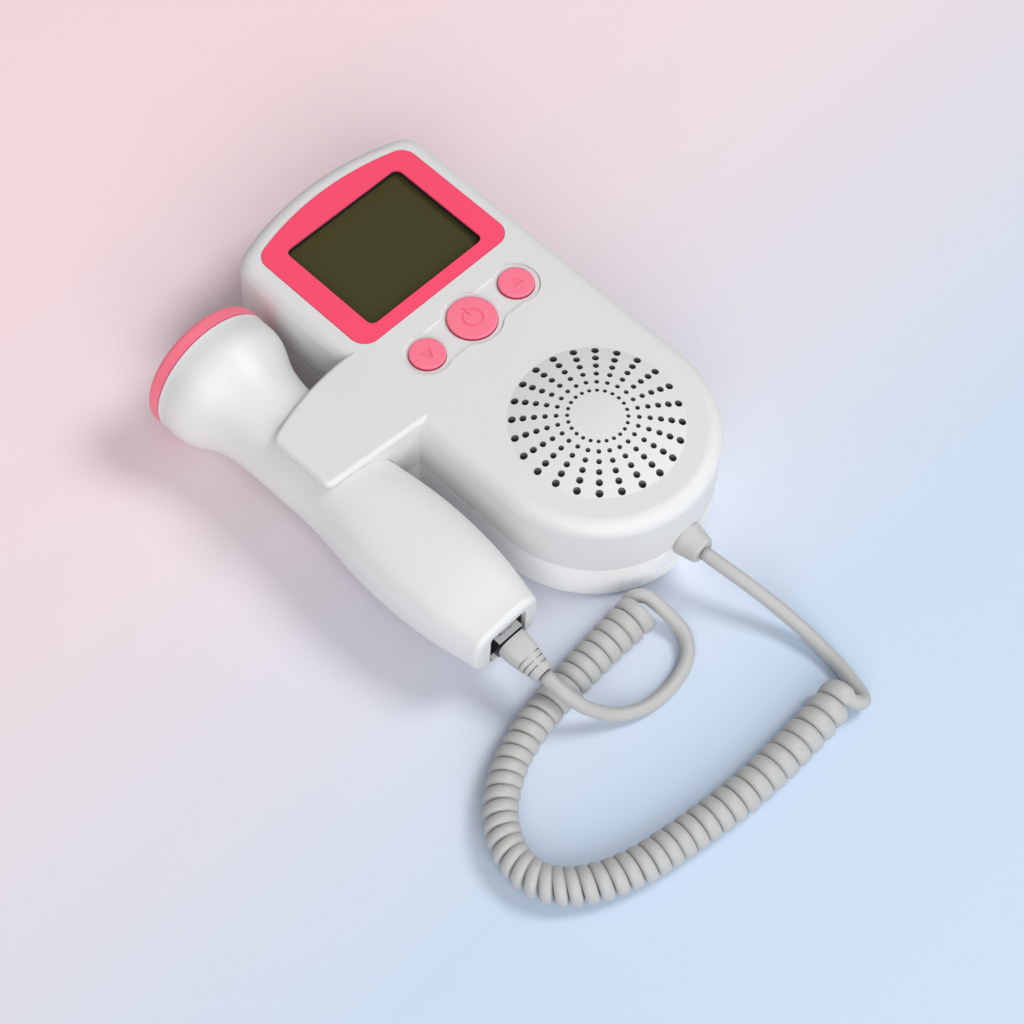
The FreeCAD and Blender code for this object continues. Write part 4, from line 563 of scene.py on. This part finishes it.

# %% [markdown]
# ### Spark-eroded white ABS: the housing
#
# The two shells are ABS. Their mould was spark-eroded, which leaves a fine, even grain that kills
# sharp highlights. A real grain is about 0.1 mm; it is drawn at 0.45 mm so that it shows. The walls
# of the grille's small holes get no light and look grey, so the plastic is darkened where the
# surface stands upright inside the grille. Below the seam the white is painted a shade lighter. This
# is painted light for the lower walls, which the lamps here light too dimly.

# %% Finish the housing
GRILLE_INSIDE, GRILLE_OUTSIDE = 6 * MM, 23.5 * MM  # from its centre, which is the frame's origin
DEEPEST_HOLE = 6 * MM
SEAM_HEIGHT = 13.5 * MM
shell_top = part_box("front_shell")[1].z
tree, shader, body = moulded(
    "white_shell", "abs_spark_eroded_white_housing", "#DFDEDE", 0.55, grain_mm=0.45, depth_mm=0.008,
)
flat_place = add_node(
    tree, "ShaderNodeVectorMath", {"operation": "MULTIPLY", 1: (1, 1, 0)},
    {0: coordinate(tree, "Object")},
)
from_centre = add_node(
    tree, "ShaderNodeVectorMath", {"operation": "LENGTH"}, {0: flat_place.outputs[0]},
)
height = coordinate(tree, "Object", "Z")
in_grille = between(tree, from_centre.outputs["Value"], GRILLE_INSIDE, GRILLE_OUTSIDE)
near_top = between(tree, height, shell_top - DEEPEST_HOLE, shell_top + SLACK)
in_hole = both(tree, both(tree, in_grille, upright(tree)), near_top)
rear_half = between(tree, height, -SLACK, SEAM_HEIGHT)
# painted light: below the seam the white is a shade lighter, to brighten the lower walls
painted_light_below_seam = shade_where(tree, shader, body, rear_half, "#F2F2F2")
shade_where(tree, shader, painted_light_below_seam, in_hole, "#7A7A7A")

# %% [markdown]
# ### Satin white ABS: the probe
#
# The probe's mould was polished with stone rather than eroded, so its shells are smoother than
# the housing and carry a broad, soft highlight. The plungers under the buttons are plain white
# ABS too.

# %% Finish the probe's shells and the plungers
moulded("white_probe", "abs_satin_white_probe", "#DFE0E0", 0.45, grain_mm=0.8, depth_mm=0.004)
moulded("white_plunger", "abs_white_plungers", "#E6E6E6", 0.5, grain_mm=0.5, depth_mm=0.004)

# %% [markdown]
# ### Pink film: the display's surround
#
# The surround is a hard-coated PET film, printed in pink on its back: very even, hardly any
# grain. The hard coat reflects a little less than bare film would.

# %% Finish the surround
_, shader, _ = moulded(
    "pink_bezel", "pet_film_pink_surround", "#FE4C70", 0.5, grain_mm=0.3, depth_mm=0.001, drift=0.01,
)
shader.inputs["Specular IOR Level"].default_value = 0.35

# %% [markdown]
# ### Pink silicone: the buttons
#
# The buttons are silicone rubber, which is softer to the light: its index is low, some light enters
# and comes out again a millimetre further on. Their moulded symbols lie deeper and are drawn a
# darker pink. The skirt that goes down into the gap carries painted shade, a deep crimson for the
# shadow in the gap.

# %% Finish the buttons
SYMBOL_FLOOR, SKIRT_TOP = 0.2 * MM, 0.4 * MM  # below the power button's top


def let_light_in(shader, weight, colour, reach_mm):
    """Some of the light enters and comes out again within this reach."""
    shader.inputs["Subsurface Weight"].default_value = weight
    shader.inputs["Subsurface Radius"].default_value = colour
    shader.inputs["Subsurface Scale"].default_value = reach_mm * MM


button_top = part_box("power_button")[1].z
tree, shader, body = moulded(
    "pink_button", "silicone_pink_buttons", "#FD7D96", 0.55, grain_mm=0.6, depth_mm=0.006,
)
let_light_in(shader, 0.15, (1.0, 0.35, 0.35), 1.0)
height = coordinate(tree, "Object", "Z")
in_symbol = between(tree, height, 0.0, button_top - SYMBOL_FLOOR)
painted_shade_on_skirt = between(tree, height, 0.0, button_top - SKIRT_TOP)
with_symbols = shade_where(tree, shader, body, in_symbol, "#F6778F")
# painted shade: the skirt that goes down into the gap is a deep crimson
shade_where(tree, shader, with_symbols, painted_shade_on_skirt, "#B02A4A")

# %% [markdown]
# ### Pink ABS: the ring
#
# The ring round the probe's face is glossy ABS. Where it meets the white shells the joint lies in
# shadow, so its last third of a millimetre is a deeper pink.

# %% Finish the ring
RING_WIDTH = 4.3 * MM
JOINT_LINE = 0.35 * MM
ring_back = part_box("probe_cap_ring")[1].y - RING_WIDTH
tree, shader, body = moulded(
    "pink_ring", "abs_glossy_pink_ring", "#FF7A90", 0.38, grain_mm=0.8, depth_mm=0.003,
)
place_y = coordinate(tree, "Object", "Y")
in_joint = between(tree, place_y, ring_back - SLACK, ring_back + JOINT_LINE)
shade_where(tree, shader, body, in_joint, "#D0526E")

# %% [markdown]
# ### Display
#
# A reflective liquid crystal display that is switched off: glass with an anti-glare film, over a
# polariser and a mirror, which together look dark olive. The film scatters reflections and takes
# away about two thirds of them. A black lining hides the glass's edge.

# %% Finish the display
_, shader, _ = moulded(
    "lcd", "glass_olive_display", "#444224", 0.35, grain_mm=0.4, depth_mm=0.0005, drift=0.03,
)
shader.inputs["Specular IOR Level"].default_value = 0.18
moulded("black_mask", "abs_black_window_lining", "#070707", 0.8, grain_mm=0.5, depth_mm=0.004)
moulded("backlight", "acrylic_white_backlight", "#EDEDE6", 0.4, grain_mm=1.0, depth_mm=0.02)

# %% [markdown]
# ### Soft greys: cord, strain relief and boot
#
# The cord's jacket is a soft thermoplastic, drawn through a die, so it is smooth, satin, and a
# little warm against the white shells. The relief and the boot are moulded on in soft PVC, one
# shade lighter and finely grained.

# %% Finish the greys
moulded("grey_cord", "tpu_grey_cord_jacket", "#B7B7B5", 0.5, grain_mm=0.7, depth_mm=0.01)
moulded("grey_relief", "pvc_grey_relief_and_boot", "#BCBCBB", 0.55, grain_mm=0.5, depth_mm=0.008)

# %% [markdown]
# ### Clear plug and black socket
#
# The modular plug is injection-moulded polycarbonate with a high index, so its edges catch the
# light. Seen from above it looks pale, while its upright sides carry painted shade: a dark grey that
# stands for the shadowed mouth of the black socket seen through the clear plastic. The socket is
# glass-filled nylon, dull black.

# %% Finish the plug and the socket
tree, shader, body = moulded(
    "clear_plug", "polycarbonate_clear_plug", "#D5D8DA", 0.12, grain_mm=2.0, depth_mm=0.004,
)
shader.inputs["Transmission Weight"].default_value = 0.35
# painted shade on the plug's upright sides, for the dark socket round them
shade_where(tree, shader, body, upright(tree), "#2C2E30")
moulded("socket_black", "nylon_black_socket", "#0C0C0C", 0.7, grain_mm=0.4, depth_mm=0.01)

# %% [markdown]
# ### Woven cloth
#
# Behind the grille lies a black polyester cloth that keeps dust out of the loudspeaker. Its dull
# threads catch some light, so it is drawn in dark grey. They are 0.4 mm apart. Two sets of
# ridges, one along X and one along Y, are laid crosswise, and at each place the higher one shows.

# %% Finish the cloth
THREAD_GAP, THREAD_HEIGHT = 0.4 * MM, 0.08 * MM
# a wave texture at scale 1 draws one band per 2 pi / 20 of its coordinate
waves_per_metre = 2 * math.pi / 20 / THREAD_GAP
tree, shader, _ = moulded(
    "cloth", "polyester_woven_black_cloth", "#4A4A4A", 0.9, grain_mm=0.2, depth_mm=0.01, drift=0.1,
)
warp, weft = (
    add_node(
        tree, "ShaderNodeTexWave", {"Scale": waves_per_metre, "bands_direction": way},
        {"Vector": coordinate(tree, "Object")},
    ).outputs["Fac"]
    for way in ("X", "Y")
)
weave = add_node(tree, "ShaderNodeMath", {"operation": "MAXIMUM"}, {0: warp, 1: weft})
threads = add_node(
    tree, "ShaderNodeBump", {"Distance": THREAD_HEIGHT}, {"Height": weave.outputs[0]},
)
tree.links.new(threads.outputs["Normal"], shader.inputs["Normal"])

# %% [markdown]
# ### Circuit boards and parts
#
# The boards are glass-fibre laminate under a green solder mask. The copper tracks below the mask
# look a little lighter; a brick pattern with thin joints stands for them, 0.2 mm wide. Chips are
# moulded in epoxy, as dull as slate. The contact strips under the glass are dark silicone, and
# the loudspeaker's basket is black ABS.

# %% Finish the boards
tree, shader, body = moulded(
    "circuit_board", "solder_mask_green_laminate", "#2A7046", 0.4, grain_mm=0.5, depth_mm=0.002,
)
tracks = add_node(
    tree, "ShaderNodeTexBrick",
    {"Scale": 1.0, "Mortar Size": 0.2 * MM, "Mortar Smooth": 0.1,
     "Brick Width": 7 * MM, "Row Height": 1.6 * MM},
    {"Vector": coordinate(tree, "Object")},
)
shade_where(tree, shader, body, tracks.outputs["Fac"], "#4C9A68")
moulded("component_black", "epoxy_black_chips", "#2E2E2E", 0.6, grain_mm=0.3, depth_mm=0.01)
moulded("rubber_dark", "silicone_dark_contact_strips", "#3A3A3A", 0.7, grain_mm=0.5, depth_mm=0.01)
moulded("speaker_black", "abs_black_speaker_basket", "#262626", 0.6, grain_mm=0.5, depth_mm=0.006)

# %% [markdown]
# ### Metals
#
# A metal's colour is its reflection, so it is metallic all through and keeps the usual index.
# Zinc plate on the screws, springs and battery plates is bluish and a little rough, the nickel
# on the magnet is warmer and smoother, and the plug's contacts are flash-plated with gold.

# %% Finish the metals
def plated(slot, name, colour, roughness):
    _, shader, _ = moulded(slot, name, colour, roughness, grain_mm=0.3, depth_mm=0.002)
    shader.inputs["Metallic"].default_value = 1.0


plated("steel", "zinc_plated_steel", "#C6CACC", 0.32)
plated("magnet", "nickel_plated_magnet", "#C9C3BA", 0.25)
plated("gold", "gold_plated_contacts", "#E8C36E", 0.22)

# %% [markdown]
# ### The probe's front and the cells
#
# The face that touches the skin is cast polyurethane, milky and a little soft. Behind it sit two
# half discs of piezo ceramic, fired and cream-coloured, in a grey ABS cup. The cells' sleeves are
# thin printed PVC.

# %% Finish the probe's front and the cells
_, shader, _ = moulded(
    "probe_front", "polyurethane_milky_probe_face", "#E3E3E6", 0.42, grain_mm=1.0, depth_mm=0.004,
)
let_light_in(shader, 0.2, (1.0, 1.0, 1.0), 1.5)
moulded("cup_grey", "abs_grey_transducer_cup", "#949494", 0.5, grain_mm=0.5, depth_mm=0.006)
moulded("crystal", "ceramic_cream_crystals", "#D2CCB8", 0.35, grain_mm=0.4, depth_mm=0.004)
moulded("cell_wrap", "pvc_blue_cell_sleeve", "#4C5878", 0.3, grain_mm=3.0, depth_mm=0.003)

# %% [markdown]
# ### Cork rubber: the damper
#
# The crystals sit on a damper of rubber filled with cork granules about 1.2 mm across. Cells
# round scattered points make such granules; the middle of each is the lighter cork.

# %% Finish the damper
GRANULE = 1.2 * MM
CORK_SHARE = 0.35  # of the way from a granule's middle to the next one
tree, shader, body = moulded(
    "damper", "cork_rubber_damper", "#6E5F50", 0.8, grain_mm=0.8, depth_mm=0.03,
)
granules = add_node(
    tree, "ShaderNodeTexVoronoi", {"Scale": 1 / GRANULE}, {"Vector": coordinate(tree, "Object")},
)
cork = between(tree, granules.outputs["Distance"], 0.0, CORK_SHARE)
shade_where(tree, shader, body, cork, "#A58A66")
print(len(finishes), "finishes")

# %% [markdown]
# ## Dress the frame
#
# Each piece of the frame carries slots named for the kind of part it is, and each slot takes the
# finish of that name. The wire is new, so its finish is added to it.

# %% Dress the frame
slots = [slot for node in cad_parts.values() for slot in node.material_slots]
for slot in slots:
    slot.material = finishes[slot.material.name]
wire.data.materials.append(finishes["grey_cord"])
print(len(slots), "slots of the frame dressed, and the wire")

# %% Measure how far the scene reaches past the frame
low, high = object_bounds()
grown = [[round(v / MM, 1) for v in change] for change in (cad_low - low, high - cad_high)]
print("grew by mm:", *grown)
